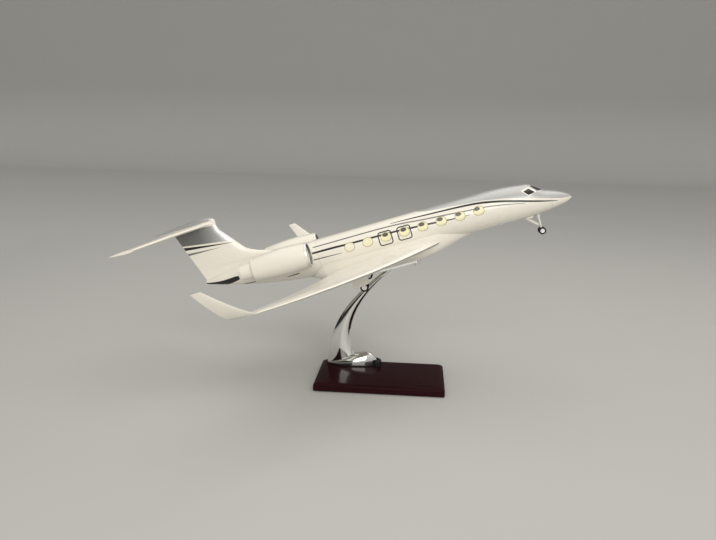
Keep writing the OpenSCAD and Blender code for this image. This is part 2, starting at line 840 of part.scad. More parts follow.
wing_root_z = -18.2;
spar_x = wing_root_le - wing_root_chord * 0.62;
spar_l = 46;
spar_h = 4;
spar_in = 9;
spar_z = wing_root_z - 2.2;

module belly_fairing() {
    color("white") on_stand() difference() {
        intersection() {
            loft([for (x = reversed(fairing_stations)) fairing_ring(x)]);
            translate([0, -fairing_half, -60]) cube([400, 2 * fairing_half, 60]);
        }
        translate([0, 0, -cabin_drop]) along_x() cylinder(r = R + 0.05, h = nose_start, $fn = 96);
        for (side = [RIGHT, LEFT]) wing_tongue(side, seat_gap);
        translate([thumb_x, 0, -belly_depth - eps]) cylinder(d = insert_d + 0.04, h = insert_h + seat_gap);
        translate([pin_x, 0, -belly_depth - eps]) cylinder(d = pin_d + 2 * bore_gap, h = pin_h + seat_gap);
        battery_bay();
        translate([switch_x - slide_gap, -switch_w / 2 - slide_gap, -belly_depth - 1])
            cube([switch_l + switch_travel + 2 * slide_gap, switch_w + 2 * slide_gap, switch_depth + 1]);
    }
}

module battery_bay() {
    translate([cover_x, 0, -belly_depth - eps])
        rounded_plate([cover_l / 2, cover_w / 2], cover_t + 0.1, 2);
    translate([cell_x, 0, -belly_depth + cover_t]) cylinder(d = cell_d + 0.4,
        h = cell_top_z + belly_depth - cover_t + 0.1);
    translate([lead_x, 0, -belly_depth + cover_t]) cylinder(d = 4, h = belly_depth);
    translate([cover_screw_x, 0, -belly_depth]) cylinder(d = cover_screw_d + 2 * bore_gap,
        h = cover_t + 4 + seat_gap);
}

// Wings

wing_y0 = fairing_half;
wing_bend_y = wing_span / 2 - winglet_lean;
wing_bend_z = wing_root_z + wing_rise;
WINGLET_STEPS = 7;

// Leading edge, chord, share of thickness, lean and twist of the section at a share s of the wing
function wing_section(s) =
    [[wing_root_le - wing_sweep * s, blend(wing_y0, wing_bend_y, s),
        wing_root_z + wing_rise * pow(s, 1.9)],
     blend(wing_root_chord, wing_tip_chord, s), blend(wing_root_t, 0.088, s), 6 * s, wing_twist * s];

// The same for the winglet, which curls up from the wing's end
function winglet_section(q) =
    let (turn = 1 - pow(1 - q, 2.2))
    [[wing_root_le - wing_sweep - winglet_sweep * q,
        wing_bend_y + winglet_lean * blend(q, turn, 0.25),
        wing_bend_z + winglet_h * blend(q, pow(q, 1.25), 0.6)],
     blend(wing_tip_chord, winglet_tip_chord, q), 0.08, blend(8, 56, ease(q * 2.4)),
        wing_twist * (1 - q)];

// Ring of a section that leans by an angle about the chord and twists about its trailing edge
function foil_ring(section, side) =
    [for (p = foil_points(section[2])) let (le = section[0], chord = section[1], lean = section[3])
        [le[0] - chord * p[0], side * (le[1] - chord * p[1] * sin(lean)),
            le[2] + chord * p[1] * cos(lean) - chord * (1 - p[0]) * tan(section[4])]];

module wing(side) {
    sections = concat([for (s = [0, 0.12, 0.28, 0.45, 0.62, 0.78, 0.9, 0.97]) wing_section(s)],
        [for (i = [0:WINGLET_STEPS]) winglet_section(i / WINGLET_STEPS)]);
    difference() {
        union() {
            loft([for (sec = side > 0 ? sections : reversed(sections)) foil_ring(sec, side)]);
            wing_tongue(side, 0);
        }
        gear_socket(side);
    }
}

// Tongue that carries the wing in the belly fairing
module wing_tongue(side, grow) {
    translate([spar_x - grow, side > 0 ? wing_y0 - spar_in - grow : -wing_y0 - 1,
        spar_z - spar_h / 2 - grow])
        cube([spar_l + 2 * grow, spar_in + 1 + grow, spar_h + 2 * grow]);
}

leg_d = 3;
leg_bite = 4;
leg_top_z = -21;
module gear_socket(side) {
    translate([main_gear_x, side * main_gear_y, leg_top_z - 6])
        cylinder(d = leg_d + 2 * bore_gap, h = leg_bite + 6);
}

module wing_right() {
    color("white") on_stand() wing(RIGHT);
}

module wing_left() {
    color("white") on_stand() wing(LEFT);
}

// Fin, tailplane and bullet

fin_joint = tailplane_z - tailplane_t / 2;
bullet_joint = tailplane_z + tailplane_t / 2;
fin_foot_z = tail_rise - 2;

// Leading edge of the fin at a height, with its fillet and the low strake ahead of it
function fin_le(z) =
    z > fin_bend_z ? fin_bend_x - 4.6 * pow((z - fin_bend_z) / 12, 1.4)
    : fin_bend_x - (z - fin_bend_z) * 0.8 + 26 * pow(clamp01((fillet_top - z) / 15), 2.2)
        + 28 * pow(clamp01((strake_top - z) / 2), 1.5);
strake_top = crown_h + 2;

// Trailing edge of the fin at a height
function fin_te(z) = 1 - (z - fin_end_z) * 0.344;
fin_end_z = 7.9;

function fin_thick(z) = blend(7.4, 4.4, clamp01((z - 10) / 55));

function fin_ring(z, le, te, thick) = [for (p = foil_points(0.1))
    [le - (le - te) * p[0], thick / 2 * p[1] / 0.05, z]];

fin_heights = concat([fin_foot_z, 12, 16, crown_h, crown_h + 1, strake_top, 22, 25, 28, 31],
    [fillet_top, 42, 50, fin_bend_z, fin_joint]);
module fin() {
    color("white") on_stand() difference() {
        union() {
            loft([for (z = reversed(fin_heights)) fin_ring(z, fin_le(z), fin_te(z), fin_thick(z))]);
            fin_tongue(0);
        }
        difference() {
            loft([for (x = tail_stations) hull_ring(x, -0.02)]);
            fin_tongue(0.01);
        }
    }
}

module fin_tongue(grow) {
    translate([22 - grow, -1 - grow, 8 - grow]) cube([30 + 2 * grow, 2 + 2 * grow, 12 + grow]);
}

tailplane_root_le = fin_le(fin_joint) - 5;

function tailplane_section(s, side) = foil_ring([[tailplane_root_le - tailplane_sweep * s,
    blend(1, tailplane_span / 2, s), tailplane_z - tailplane_droop * s * s],
    blend(tailplane_root_chord, tailplane_tip_chord, s),
    tailplane_t / tailplane_root_chord * 0.96, 0, 0], side);

module tailplane() {
    color("white") on_stand() {
        for (side = [RIGHT, LEFT]) loft([for (s = side > 0 ? [0, 0.5, 0.94, 1] : [1, 0.94, 0.5, 0])
            tailplane_section(min(s, 0.999), side)]);
        centre_block();
    }
}

// Block between fin and bullet that joins the two halves of the tailplane
module centre_block() {
    translate([0, 0, fin_joint]) linear_extrude(bullet_joint - fin_joint)
        polygon([for (p = fin_ring(0, fin_le(fin_joint), fin_te(fin_joint), fin_thick(fin_joint)))
            [p[0], p[1]]]);
}

// Fairing on top of the tailplane, which runs back to a point behind the fin
BULLET_STEPS = 8;
bullet_top_x = [10, 6];
bullet_point_x = -41;
module tail_bullet() {
    rise = fin_top - bullet_joint;
    color("white") on_stand()
    loft([for (i = [BULLET_STEPS:-1:0]) let (t = i / BULLET_STEPS, k = sqrt(max(0.03, 1 - t * t)))
        fin_ring(bullet_joint + rise * t,
            blend(bullet_top_x[0], fin_le(fin_joint), pow(k, 0.8)),
            blend(bullet_point_x, bullet_top_x[1], pow(t, 1.4)),
            fin_thick(fin_joint) * k)]);
}

// Engines

cowl_end = intake_x - cowl_length;
duct_r = lip_d / 2 - 2.4;
cowl_wall = 1.6;
fan_x = intake_x - 15;
pylon_gap = 0.08;
COWL_STEPS = 12;

// Outside radius of the cowl at a share t from the tail of the cowl to the lip joint
function cowl_r(t) =
    let (aft = cowl_d / 2 - 2.3, front = lip_d / 2 + 0.25)
    t < 0.6 ? blend(aft, cowl_d / 2, sin(90 * t / 0.6)) : blend(front, cowl_d / 2, cos(90 * (t - 0.6) / 0.4));

module at_engine(side) {
    on_stand() engine_frame(side) children();
}

module engine_frame(side) {
    translate([cowl_end, side * engine_y, engine_z]) rotate([0, 90, 0]) children();
}

module revolve(profile) {
    rotate_extrude($fn = 72) polygon(profile);
}

cowl_body = cowl_length - lip_length;

module cowl(side) {
    at_engine(side) revolve(concat(
        [for (i = [0:COWL_STEPS]) [cowl_r(i / COWL_STEPS), cowl_body * i / COWL_STEPS]],
        [[duct_r, cowl_body], [duct_r, cowl_body - 14], [cowl_d / 2 - 2.3 - cowl_wall, cowl_body - 30],
            [nozzle_d / 2 + 0.1, 3], [nozzle_d / 2 + 0.1, -2], [nozzle_d / 2 + 1.4, -2]]));
}

module cowl_right() {
    color("white") cowl(RIGHT);
}

module cowl_left() {
    color("white") cowl(LEFT);
}

// Rounded lip that closes the front of the cowl
module intake_lip(side) {
    color("silver") at_engine(side) revolve(concat(
        [for (i = [0:8]) let (a = 180 * i / 8, mid = (lip_d / 2 + 0.25 + duct_r) / 2,
            half = (lip_d / 2 + 0.25 - duct_r) / 2)
            [mid + half * cos(a), cowl_body + 0.3 + (lip_length - 0.3) * sin(a)]],
        [[duct_r, cowl_body], [lip_d / 2 + 0.25, cowl_body]]));
}

module intake_lip_right() {
    intake_lip(RIGHT);
}

module intake_lip_left() {
    intake_lip(LEFT);
}

spinner_r = 3.4;
blade_w = 2.4;
blade_t = 0.5;
module fan(side) {
    color("#4a4e54") at_engine(side) translate([0, 0, fan_x - cowl_end]) {
        revolve([[0, -6], [spinner_r, -6], [spinner_r, 0.5], [spinner_r * 0.8, 3], [spinner_r * 0.4, 5.4],
            [0, 6.2]]);
        for (i = [0:fan_blades - 1]) rotate([0, 0, 360 * i / fan_blades])
            translate([spinner_r - 0.6, 0, -1.4]) rotate([50, 0, 0])
                translate([0, -blade_w / 2, -blade_t / 2])
                    cube([duct_r - spinner_r + 0.2, blade_w, blade_t]);
        revolve([[duct_r - 1, -5.6], [duct_r - 0.05, -5.6], [duct_r - 0.05, -3.8], [duct_r - 1, -3.8]]);
        for (i = [0:5]) rotate([0, 0, 60 * i + 15]) translate([spinner_r - 0.5, -0.4, -5.2])
            cube([duct_r - spinner_r, 0.8, 1]);
    }
}

module fan_right() {
    fan(RIGHT);
}

module fan_left() {
    fan(LEFT);
}

// Exhaust pipe with the tail cone of the turbine inside
module nozzle(side) {
    r = nozzle_d / 2;
    color("#8a8d91") at_engine(side) {
        revolve([[r - 0.9, -nozzle_length], [r - 0.25, -nozzle_length], [r, -nozzle_length * 0.5], [r, 3],
            [r - 1.4, 3], [r - 1.4, -nozzle_length * 0.5]]);
        revolve([[0, 1.5], [r - 1, 1.5], [r - 1, 0], [r * 0.45, 0], [r * 0.32, -nozzle_length * 0.5],
            [0, -nozzle_length * 0.8]]);
    }
}

module nozzle_right() {
    nozzle(RIGHT);
}

module nozzle_left() {
    nozzle(LEFT);
}

pylon_from = cowl_end + 6;
pylon_chord = 46;
pylon_t = 0.13;
pylon_in = 8;

// Streamlined strut between fuselage and cowl, before it is fitted to the cowl
module pylon_blank(side, grow) {
    x_le = pylon_from + pylon_chord;
    inner = half_width(pylon_from + pylon_chord / 2) - pylon_in;
    translate([0, side > 0 ? inner - grow : -engine_y, engine_z]) along_y()
        linear_extrude(engine_y - inner + grow)
            polygon([for (p = foil_points(pylon_t))
                [x_le + grow - (pylon_chord + 2 * grow) * p[0], -p[1] * (pylon_chord + 8 * grow)]]);
}

module pylon(side) {
    color("white") on_stand() difference() {
        pylon_blank(side, 0);
        engine_frame(side) translate([0, 0, -3]) revolve(concat([[0, 0]],
            [for (i = [0:COWL_STEPS]) [cowl_r(i / COWL_STEPS) + 0.03, 3 + cowl_body * i / COWL_STEPS]],
            [[0, 3 + cowl_body]]));
    }
}

module pylon_right() {
    pylon(RIGHT);
}

module pylon_left() {
    pylon(LEFT);
}

// Landing gear

nose_leg_d = 2.4;
nose_leg_bite = 3;
brace_d = [3.8, 2.4];
brace_span = 14;
nose_half_axle = wheel_spacing / 2 + tyre_w / 2 + 0.15;
main_half_axle = nose_half_axle;

module nose_leg() {
    foot = keel(nose_gear_x);
    color("white") on_stand() {
        translate([nose_gear_x, 0, -nose_axle_z]) cylinder(d = nose_leg_d, h = foot + nose_axle_z + nose_leg_bite);
        translate([nose_gear_x, 0, foot - 3.2]) cylinder(d = nose_leg_d + 1.6, h = 3);
        translate([nose_gear_x, 0, -nose_axle_z]) sphere(d = nose_leg_d + 0.6);
        translate([nose_gear_x, -nose_half_axle, -nose_axle_z]) along_y()
            cylinder(d = axle_d, h = 2 * nose_half_axle);
    }
}

// Tapered strut from the belly down to the nose leg, cut off along the belly
module nose_brace() {
    from = [nose_gear_x - brace_span, 0, keel(nose_gear_x - brace_span)];
    to = [nose_gear_x - nose_leg_d / 2 - 0.95, 0, -nose_axle_z + 6.9];
    span = to - from;
    color("white") on_stand() difference() {
        translate(from) rotate([0, 90 - asin(span[2] / norm(span)), 0])
            cylinder(d1 = brace_d[0], d2 = brace_d[1], h = norm(span));
        belly_block();
    }
}

// Everything above the belly line near the nose leg
module belly_block() {
    translate([nose_gear_x, 0, 0]) rotate([90, 0, 0]) linear_extrude(10, center = true)
        polygon(concat([for (x = [-21:3:3]) [x, keel(nose_gear_x + x) - 0.02]], [[3, 0], [-21, 0]]));
}

// Two small doors beside the foot of the brace
door_t = 0.8;
module nose_doors() {
    color("white") on_stand() for (side = [RIGHT, LEFT])
        translate([nose_gear_x, side * 3.4, 0]) rotate([90, 0, 0]) linear_extrude(door_t, center = true)
            polygon(concat([for (x = [-13:2:-5]) [x, keel(nose_gear_x + x) + 0.1]],
                [[-6, keel(nose_gear_x) - 2.2], [-12.4, keel(nose_gear_x) - 2.4]]));
}

module tyre(x, y, z, diameter) {
    r = diameter / 2;
    rim = r * 0.58;
    w = tyre_w / 2;
    color("#141414") on_stand() translate([x, y, z]) along_y() rotate_extrude()
        polygon([[rim, -w * 0.8], [r * 0.86, -w], [r * 0.97, -w * 0.6], [r, 0], [r * 0.97, w * 0.6],
            [r * 0.86, w], [rim, w * 0.8]]);
}

module wheel_hub(x, y, z, diameter) {
    rim = diameter / 2 * 0.58;
    w = tyre_w / 2;
    color("#c9cbcd") on_stand() translate([x, y, z]) along_y() rotate_extrude()
        polygon([[axle_d / 2 + axle_gap, -w], [rim * 0.5, -w], [rim * 0.6, -w * 0.55], [rim * 0.82, -w * 0.55],
            [rim * 0.86, -w * 0.8], [rim, -w * 0.8], [rim, w * 0.8], [rim * 0.86, w * 0.8],
            [rim * 0.82, w * 0.55], [rim * 0.6, w * 0.55], [rim * 0.5, w], [axle_d / 2 + axle_gap, w]]);
}

half_spacing = wheel_spacing / 2;

module nose_tyre_right() {
    tyre(nose_gear_x, -half_spacing, -nose_axle_z, nose_tyre_d);
}

module nose_hub_right() {
    wheel_hub(nose_gear_x, -half_spacing, -nose_axle_z, nose_tyre_d);
}

module nose_tyre_left() {
    tyre(nose_gear_x, half_spacing, -nose_axle_z, nose_tyre_d);
}

module nose_hub_left() {
    wheel_hub(nose_gear_x, half_spacing, -nose_axle_z, nose_tyre_d);
}

module main_leg(side) {
    y = side * main_gear_y;
    color("white") on_stand() {
        translate([main_gear_x, y, -main_axle_z]) cylinder(d = leg_d, h = main_axle_z + leg_top_z + leg_bite - seat_gap);
        translate([main_gear_x, y, -main_axle_z]) sphere(d = leg_d + 0.6);
        translate([main_gear_x, y - main_half_axle, -main_axle_z]) along_y()
            cylinder(d = axle_d, h = 2 * main_half_axle);
    }
}

module main_leg_right() {
    main_leg(RIGHT);
}

module main_leg_left() {
    main_leg(LEFT);
}

door_y = main_gear_y + half_spacing + tyre_w / 2 + 0.9;
door_top_z = -23.4;
door_foot_z = -main_axle_z + 1.7;
door_outline = [[-9.4, door_top_z - 0.4], [-9.9, -30], [-11.1, -36], [-10.9, door_foot_z + 0.8],
    [-9.4, door_foot_z], [-3, door_foot_z + 0.2], [4, door_foot_z + 1.2], [5.7, door_foot_z + 1.6],
    [7.1, -33], [7.2, -29], [8.6, door_top_z]];
// Gear door beside the outer wheel, with the link that ties it to the leg
module main_door(side) {
    color("#efe9dc") on_stand() difference() {
        union() {
            translate([main_gear_x, side * (door_y + door_t / 2), 0]) rotate([90, 0, 0])
                linear_extrude(door_t, center = true)
                    polygon(door_outline);
            translate([main_gear_x - 1, side > 0 ? main_gear_y + leg_d / 2 + 0.02 : -door_y - 0.1, -28])
                cube([2, door_y - main_gear_y - leg_d / 2 + 0.08, 1.6]);
        }
        translate([main_gear_x, side * main_gear_y, -main_axle_z]) cylinder(d = leg_d + 0.04, h = 30);
    }
}

module main_door_right() {
    main_door(RIGHT);
}

module main_door_left() {
    main_door(LEFT);
}

module main_tyre_right_outer() {
    tyre(main_gear_x, -main_gear_y - half_spacing, -main_axle_z, main_tyre_d);
}

module main_hub_right_outer() {
    wheel_hub(main_gear_x, -main_gear_y - half_spacing, -main_axle_z, main_tyre_d);
}

module main_tyre_right_inner() {
    tyre(main_gear_x, -main_gear_y + half_spacing, -main_axle_z, main_tyre_d);
}

module main_hub_right_inner() {
    wheel_hub(main_gear_x, -main_gear_y + half_spacing, -main_axle_z, main_tyre_d);
}

module main_tyre_left_outer() {
    tyre(main_gear_x, main_gear_y + half_spacing, -main_axle_z, main_tyre_d);
}

module main_hub_left_outer() {
    wheel_hub(main_gear_x, main_gear_y + half_spacing, -main_axle_z, main_tyre_d);
}

module main_tyre_left_inner() {
    tyre(main_gear_x, main_gear_y - half_spacing, -main_axle_z, main_tyre_d);
}

module main_hub_left_inner() {
    wheel_hub(main_gear_x, main_gear_y - half_spacing, -main_axle_z, main_tyre_d);
}

// Caps on the ends of the three axles
cap_t = 0.5;
module axle_caps() {
    color("#b9bcc0") on_stand() for (s = [-1, 1]) {
        axle_cap(nose_gear_x, s * nose_half_axle, -nose_axle_z, s);
        for (side = [RIGHT, LEFT])
            axle_cap(main_gear_x, side * main_gear_y + s * main_half_axle, -main_axle_z, s);
    }
}

module axle_cap(x, y, z, s) {
    translate([x, s > 0 ? y : y - cap_t, z]) along_y() cylinder(d = axle_d + 0.7, h = cap_t);
}

base_board();
base_felt();
foot_gasket();
stand_arm();
foot_screws();
thumb_screw();
fuselage_right();
fuselage_left();
nose_cone();
tail_section();
belly_fairing();
cockpit_glazing();
window_strip_right();
window_strip_left();
light_board();
battery_lead();
button_cells();
battery_cover();
cover_screw();
light_switch();
saddle_insert();
wing_right();
wing_left();
fin();
tailplane();
tail_bullet();
pylon_right();
pylon_left();
cowl_right();
cowl_left();
intake_lip_right();
intake_lip_left();
fan_right();
fan_left();
nozzle_right();
nozzle_left();
nose_leg();
nose_brace();
nose_doors();
nose_tyre_right();
nose_hub_right();
nose_tyre_left();
nose_hub_left();
main_leg_right();
main_leg_left();
main_door_right();
main_door_left();
main_tyre_right_outer();
main_hub_right_outer();
main_tyre_right_inner();
main_hub_right_inner();
main_tyre_left_outer();
main_hub_left_outer();
main_tyre_left_inner();
main_hub_left_inner();
axle_caps();
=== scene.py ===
"""Finishes and picture of a model business jet on its desk stand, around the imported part."""

import json
import math

import bmesh
import bpy
from mathutils import Matrix, Vector

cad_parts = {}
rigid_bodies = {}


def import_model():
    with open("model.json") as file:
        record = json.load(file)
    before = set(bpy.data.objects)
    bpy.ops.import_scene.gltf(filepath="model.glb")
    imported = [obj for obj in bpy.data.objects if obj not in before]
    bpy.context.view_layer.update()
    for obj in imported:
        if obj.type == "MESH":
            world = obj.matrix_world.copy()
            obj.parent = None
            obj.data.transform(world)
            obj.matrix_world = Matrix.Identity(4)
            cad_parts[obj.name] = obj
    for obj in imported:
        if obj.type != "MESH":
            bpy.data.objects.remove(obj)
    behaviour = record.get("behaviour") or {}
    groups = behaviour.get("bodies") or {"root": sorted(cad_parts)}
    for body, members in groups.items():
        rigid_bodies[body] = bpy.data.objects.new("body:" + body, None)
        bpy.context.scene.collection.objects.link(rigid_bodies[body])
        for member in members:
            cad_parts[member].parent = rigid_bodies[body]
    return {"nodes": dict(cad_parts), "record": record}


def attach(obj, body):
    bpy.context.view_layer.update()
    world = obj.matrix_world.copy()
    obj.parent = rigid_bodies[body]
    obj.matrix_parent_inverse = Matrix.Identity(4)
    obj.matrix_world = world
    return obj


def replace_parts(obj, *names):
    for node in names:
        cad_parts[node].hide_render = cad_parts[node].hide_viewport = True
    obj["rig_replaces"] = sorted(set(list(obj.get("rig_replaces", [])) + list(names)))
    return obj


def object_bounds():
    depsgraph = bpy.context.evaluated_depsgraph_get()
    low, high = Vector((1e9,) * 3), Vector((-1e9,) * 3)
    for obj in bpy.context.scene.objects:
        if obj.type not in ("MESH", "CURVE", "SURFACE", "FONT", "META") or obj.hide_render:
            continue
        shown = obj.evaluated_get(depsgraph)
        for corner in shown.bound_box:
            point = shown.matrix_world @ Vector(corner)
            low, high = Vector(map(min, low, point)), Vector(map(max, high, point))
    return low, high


bl_info = {
    "name": "Model business jet",
    "version": (1, 0, 0),
    "blender": (4, 5, 0),
    "location": "View3D > Sidebar > Model jet",
    "description": "Paints, plates and lacquers a model business jet on a desk stand",
    "category": "Object",
}

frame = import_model()

MM = 0.001
WHOLE = [tuple(corner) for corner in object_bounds()]

# The jet's own frame: x is the station forward of the tail end, z is the height above its axis
JET_PITCH = math.radians(17.9)
SADDLE = Vector((15.8, 28.0, 123.3)) * MM
SADDLE_STATION = 212.0 * MM
BELLY_DEPTH = 32.2 * MM
FORWARD = Vector((math.cos(JET_PITCH), 0, math.sin(JET_PITCH)))
UPWARD = Vector((-math.sin(JET_PITCH), 0, math.cos(JET_PITCH)))
ASIDE = Vector((0, 1, 0))
TAIL_POINT = SADDLE - SADDLE_STATION * FORWARD + BELLY_DEPTH * UPWARD

# The lines and sizes of the jet below are in millimetres of that frame

# The round cabin and its windows
CABIN_RADIUS = 19.2
CABIN_DROP = 0.8
WINDOW_COUNT = 8
WINDOW_PITCH = 20.08
WINDOW_FIRST = 167.2
WINDOW_HEIGHT = 2.8
WINDOW_HALF = (5.3, 4.5)
# The rounding of a window's metal frame, the points round it and across it, and how far it
# laps over the opening and sinks into the skin
FRAME_EXPONENT = 0.88
FRAME_STEPS = 40
FRAME_TURNS = 6
FRAME_LAP = 0.1
FRAME_SINK = 0.02
# The dark crescent in a lit pane, painted shade for the dark cabin ceiling seen through the pane,
# in shares of the pane's half size: its half size, how far up it sits, and how far it leans with
# each window
SHADE_HALF = (0.62, 0.44)
SHADE_UP = 0.5
SHADE_LEAN = 0.05

# Livery lines on the fuselage: station, height and width
UPPER_LINE = [(389, -10.4, 0.5), (376, -6.8, 1.4), (361, -2.4, 2.0), (346, 2.0, 2.3),
              (331, 6.0, 2.2), (321, 8.2, 2.1), (311, 9.9, 2.0), (301, 10.9, 1.9),
              (280, 12.1, 1.6), (258, 12.9, 1.3), (237, 13.7, 1.0), (215, 14.3, 0.5)]
MIDDLE_LINE = [(356, -3.2, 0.3), (340, 0.5, 1.2), (325, 3.2, 1.4), (314, 4.7, 1.4),
               (294, 6.1, 1.3), (278, 7.4, 1.2), (257, 8.9, 1.2), (243, 10.0, 1.2),
               (229, 11.3, 1.2), (207, 12.2, 1.2), (186, 12.4, 1.2), (160, 12.4, 1.2),
               (128, 12.4, 1.1)]
LOWER_LINE = [(298, 1.2, 0.4), (280, 1.8, 1.2), (262, 3.1, 1.9), (242, 4.2, 2.0),
              (220, 5.4, 1.9), (192, 5.9, 1.9), (163, 6.3, 2.0), (150, 6.7, 2.1),
              (139, 6.8, 2.1), (126, 6.9, 1.9)]
BELLY_LINE = [(158, -1.0, 0.3), (144, -0.6, 1.1), (126, -0.2, 1.3)]
# Lower edge of the silver upper nose, and where the silver ends towards the tail
SILVER_EDGE = [(406, -10.8), (396, -9.4), (385, -6.6), (372, -2.6), (361, 0.7), (352, 3.5),
               (337, 7.4), (325, 9.6), (312, 11.7), (296, 13.0), (280, 14.3), (259, 15.8),
               (248, 17.5), (240, 19.8)]
SILVER_END = 240
# Emergency exits round two of the cabin windows: station and height of the middle
EXITS = [(206.4, 1.6), (227.2, 1.7)]
EXIT_HALF = (7.0, 6.9)
EXIT_CORNER = 2.6
EXIT_LINE = 1.2
# White surround of the side window of the cockpit
COCKPIT_FRAME = [(354.6, 10.0), (363.4, 11.4), (370.6, 4.9), (361.2, 2.8)]
# Black panel round the exhaust in the tail: its top, its foot and its front end
PANEL_TOP = [(-3, 6.8), (0, 5.7), (6, 4.6), (19, 3.6), (30, 4.2), (37, 4.6), (41, 2.9)]
PANEL_FOOT = [(-3, 6.2), (0, 4.4), (6, 1.8), (13, -1.2), (23, -2.3), (35, -0.8), (41, 0.8)]
PANEL_END = 40.6
# Dark marks in front of the panel: station, height and width
UNDER_NACELLE_LINE = [(92, -10.6, 0.5), (98, -10.5, 1.4), (104, -10.3, 1.6), (107, -10.1, 0.4)]
SLOT_LINE = [(39, -6.4, 0.6), (44, -6.8, 1.5), (52, -7.0, 1.5), (57, -6.8, 0.5)]
# Joints round the fuselage, where the nose and the tail are let in
MOULD_JOINTS = (383.0, 132.0)
JOINT_HALF = 0.12

# The fin's rear edge and its depth from there, over which its two lines taper
FIN_REAR = -13.0
FIN_CHORD = 42.0
# Lower edge of the fin's silver: fall for each millimetre forward, and height at station 0
FIN_SILVER = (0.138, 49.3)
# The fin's black and grey lines: the same two, half the width at the rear, and what is lost of it
FIN_BLACK = (0.12, 46.1, 1.7, 1.2)
FIN_GREY = (0.035, 40.3, 1.3, 1.3)
# Painted shade and highlight on the fin's silver: darker aft, lighter forward from a station over
# a length, and lighter above a height
FIN_PAINTED_LIGHT = (4, 36)
FIN_PAINTED_LIGHT_TOP = 69.5

# Leading edge of the wings: its station at the jet's middle, and its fall back on the way out
WING_LEAD = 274.2
WING_SWEEP = 0.8123
# The painted shadow under that edge, where the wing stands over the belly: half its width, where
# it starts to the side, and the middle and the length of the stretch over which it fades
WING_SHADOW_HALF = 1.7
WING_SHADOW_START = 17.7
WING_SHADOW_FADE = (150, 80)

# The middle of an engine, to the side and up, and the radius within which its lip is painted dark
# as shade in the intake
ENGINE_ASIDE = 38.0
ENGINE_HEIGHT = 9.4
LIP_SHADE_RADIUS = 11.6

# The curves of the foot and the arm in millimetres of the scene, the same as in the part
STAND_BACK = 28.0
FOOT_BASE = 9.9
FOOT_BACK = -61.4
FOOT_LENGTH = 56.0
FOOT_WIDTH = 20.5
FOOT_HEIGHT = 13.0
FOOT_TIP = 1.3
# Shares of the foot's length where it is highest and where its back would reach the base
FOOT_HUMP = 0.77
FOOT_END = 1.005
# Exponents of the foot's outline from above, of its rise to the hump, and of its section
FOOT_LEAF = (1.1, 0.6)
FOOT_RISE = 0.85
FOOT_ROUND = 0.75
# Thickness of the arm at the foot and at the saddle, and the exponent of its section, which
# makes the arm a little leaner than the part's
ARM_THICK = (9.4, 8.0)
ARM_EXPONENT = 1.15
# Heights in the jet's frame: where the arm ends under the saddle, and the cut above which the
# part's own casting stays
SADDLE_UNDER = -34.2
SADDLE_PLATE = -34.53
# Edges of the arm: place and height of the start, place and share of the rise of two bends, and
# the station of the end
FRONT_EDGE = [(-25.56, 10.1), (-50.0, 0.33), (-28.3, 0.7), 207.0]
REAR_EDGE = [(-60.9, 10.1), (-59.7, 0.4), (-41.8, 0.63), 194.0]
# The stretch of the foot that is lofted, how finely both are, and the sharpest bend that is
# rounded on them
FOOT_SPAN = (0.02, 0.974)
FOOT_RINGS = 60
FOOT_SIDES = 49
ARM_RINGS = 64
ARM_SIDES = 72
CAST_CREASE = 40

# Nodes whose facets are rounded over for the picture, and the sharpest bend that is rounded
ROUNDED = {
    "fuselage_right": 28, "fuselage_left": 28, "nose_cone": 30, "tail_section": 30,
    "belly_fairing": 30, "wing_right": 50, "wing_left": 50, "fin": 50, "tailplane": 50,
    "tail_bullet": 50, "base_board": 28, "cockpit_glazing": 28}
# Points closer than this, in millimetres, become one
WELD = 0.002

# Sprayed lacquer: constants of the shader, weight of the clear coat on it and what bold black
# takes off that, roughness, and how metallic the silver is
LACQUER = {"coat_roughness": 0.12, "specular_ior_level": 0.35}
COAT = 0.6
COAT_LOST = 0.5
LACQUER_GLOSS = 0.24
SILVER_METALLIC = 0.35

# Sockets of a Mix node that mixes colours
MIX_SHARE, MIX_LOW, MIX_HIGH, MIX_RESULT = 0, 6, 7, 2


def in_world(station, aside, height):
    """A point of the jet's own frame, in millimetres, as a place in the scene."""
    return TAIL_POINT + (FORWARD * station + ASIDE * aside + UPWARD * height) * MM


def skins_of(node):
    """The smooth pieces that stand for a CAD node."""
    return [piece for piece in bpy.data.objects if node in piece.get("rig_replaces", [])]


def shade(colour, share):
    """A darker or lighter shade of a colour."""
    return tuple(share * part for part in colour)


# Shader maths


class Port:
    """An output of a shader node. Each operation on it adds a Math node."""

    def __init__(self, finish, socket):
        self.finish = finish
        self.socket = socket

    def __add__(self, other):
        return self.finish.maths("ADD", self, other)

    __radd__ = __add__

    def __sub__(self, other):
        return self.finish.maths("SUBTRACT", self, other)

    def __rsub__(self, other):
        return self.finish.maths("SUBTRACT", other, self)

    def __mul__(self, other):
        return self.finish.maths("MULTIPLY", self, other)

    __rmul__ = __mul__

    def __truediv__(self, other):
        return self.finish.maths("DIVIDE", self, other)

    def __rtruediv__(self, other):
        return self.finish.maths("DIVIDE", other, self)

    def __pow__(self, other):
        return self.finish.maths("POWER", self, other)

    def __rpow__(self, other):
        return self.finish.maths("POWER", other, self)

    def __or__(self, other):
        """The larger of two masks."""
        return self.finish.maths("MAXIMUM", self, other)

    __ror__ = __or__

    def __abs__(self):
        return self.finish.maths("ABSOLUTE", self, 0)

    def clamped(self):
        """Kept between 0 and 1."""
        return self.finish.maths("ADD", self, 0, clamp=True)

    def rounded(self):
        """The nearest whole number."""
        return self.finish.maths("ROUND", self, 0)

    def above(self, edge, softness):
        """1 above the edge and 0 below it, with a soft border."""
        return ((self - edge) / softness + 0.5).clamped()

    def below(self, edge, softness):
        """1 below the edge and 0 above it, with a soft border."""
        return ((edge - self) / softness + 0.5).clamped()

    def between(self, low, high, softness):
        """1 between two edges and 0 outside them, with soft borders."""
        return self.above(low, softness) * self.below(high, softness)


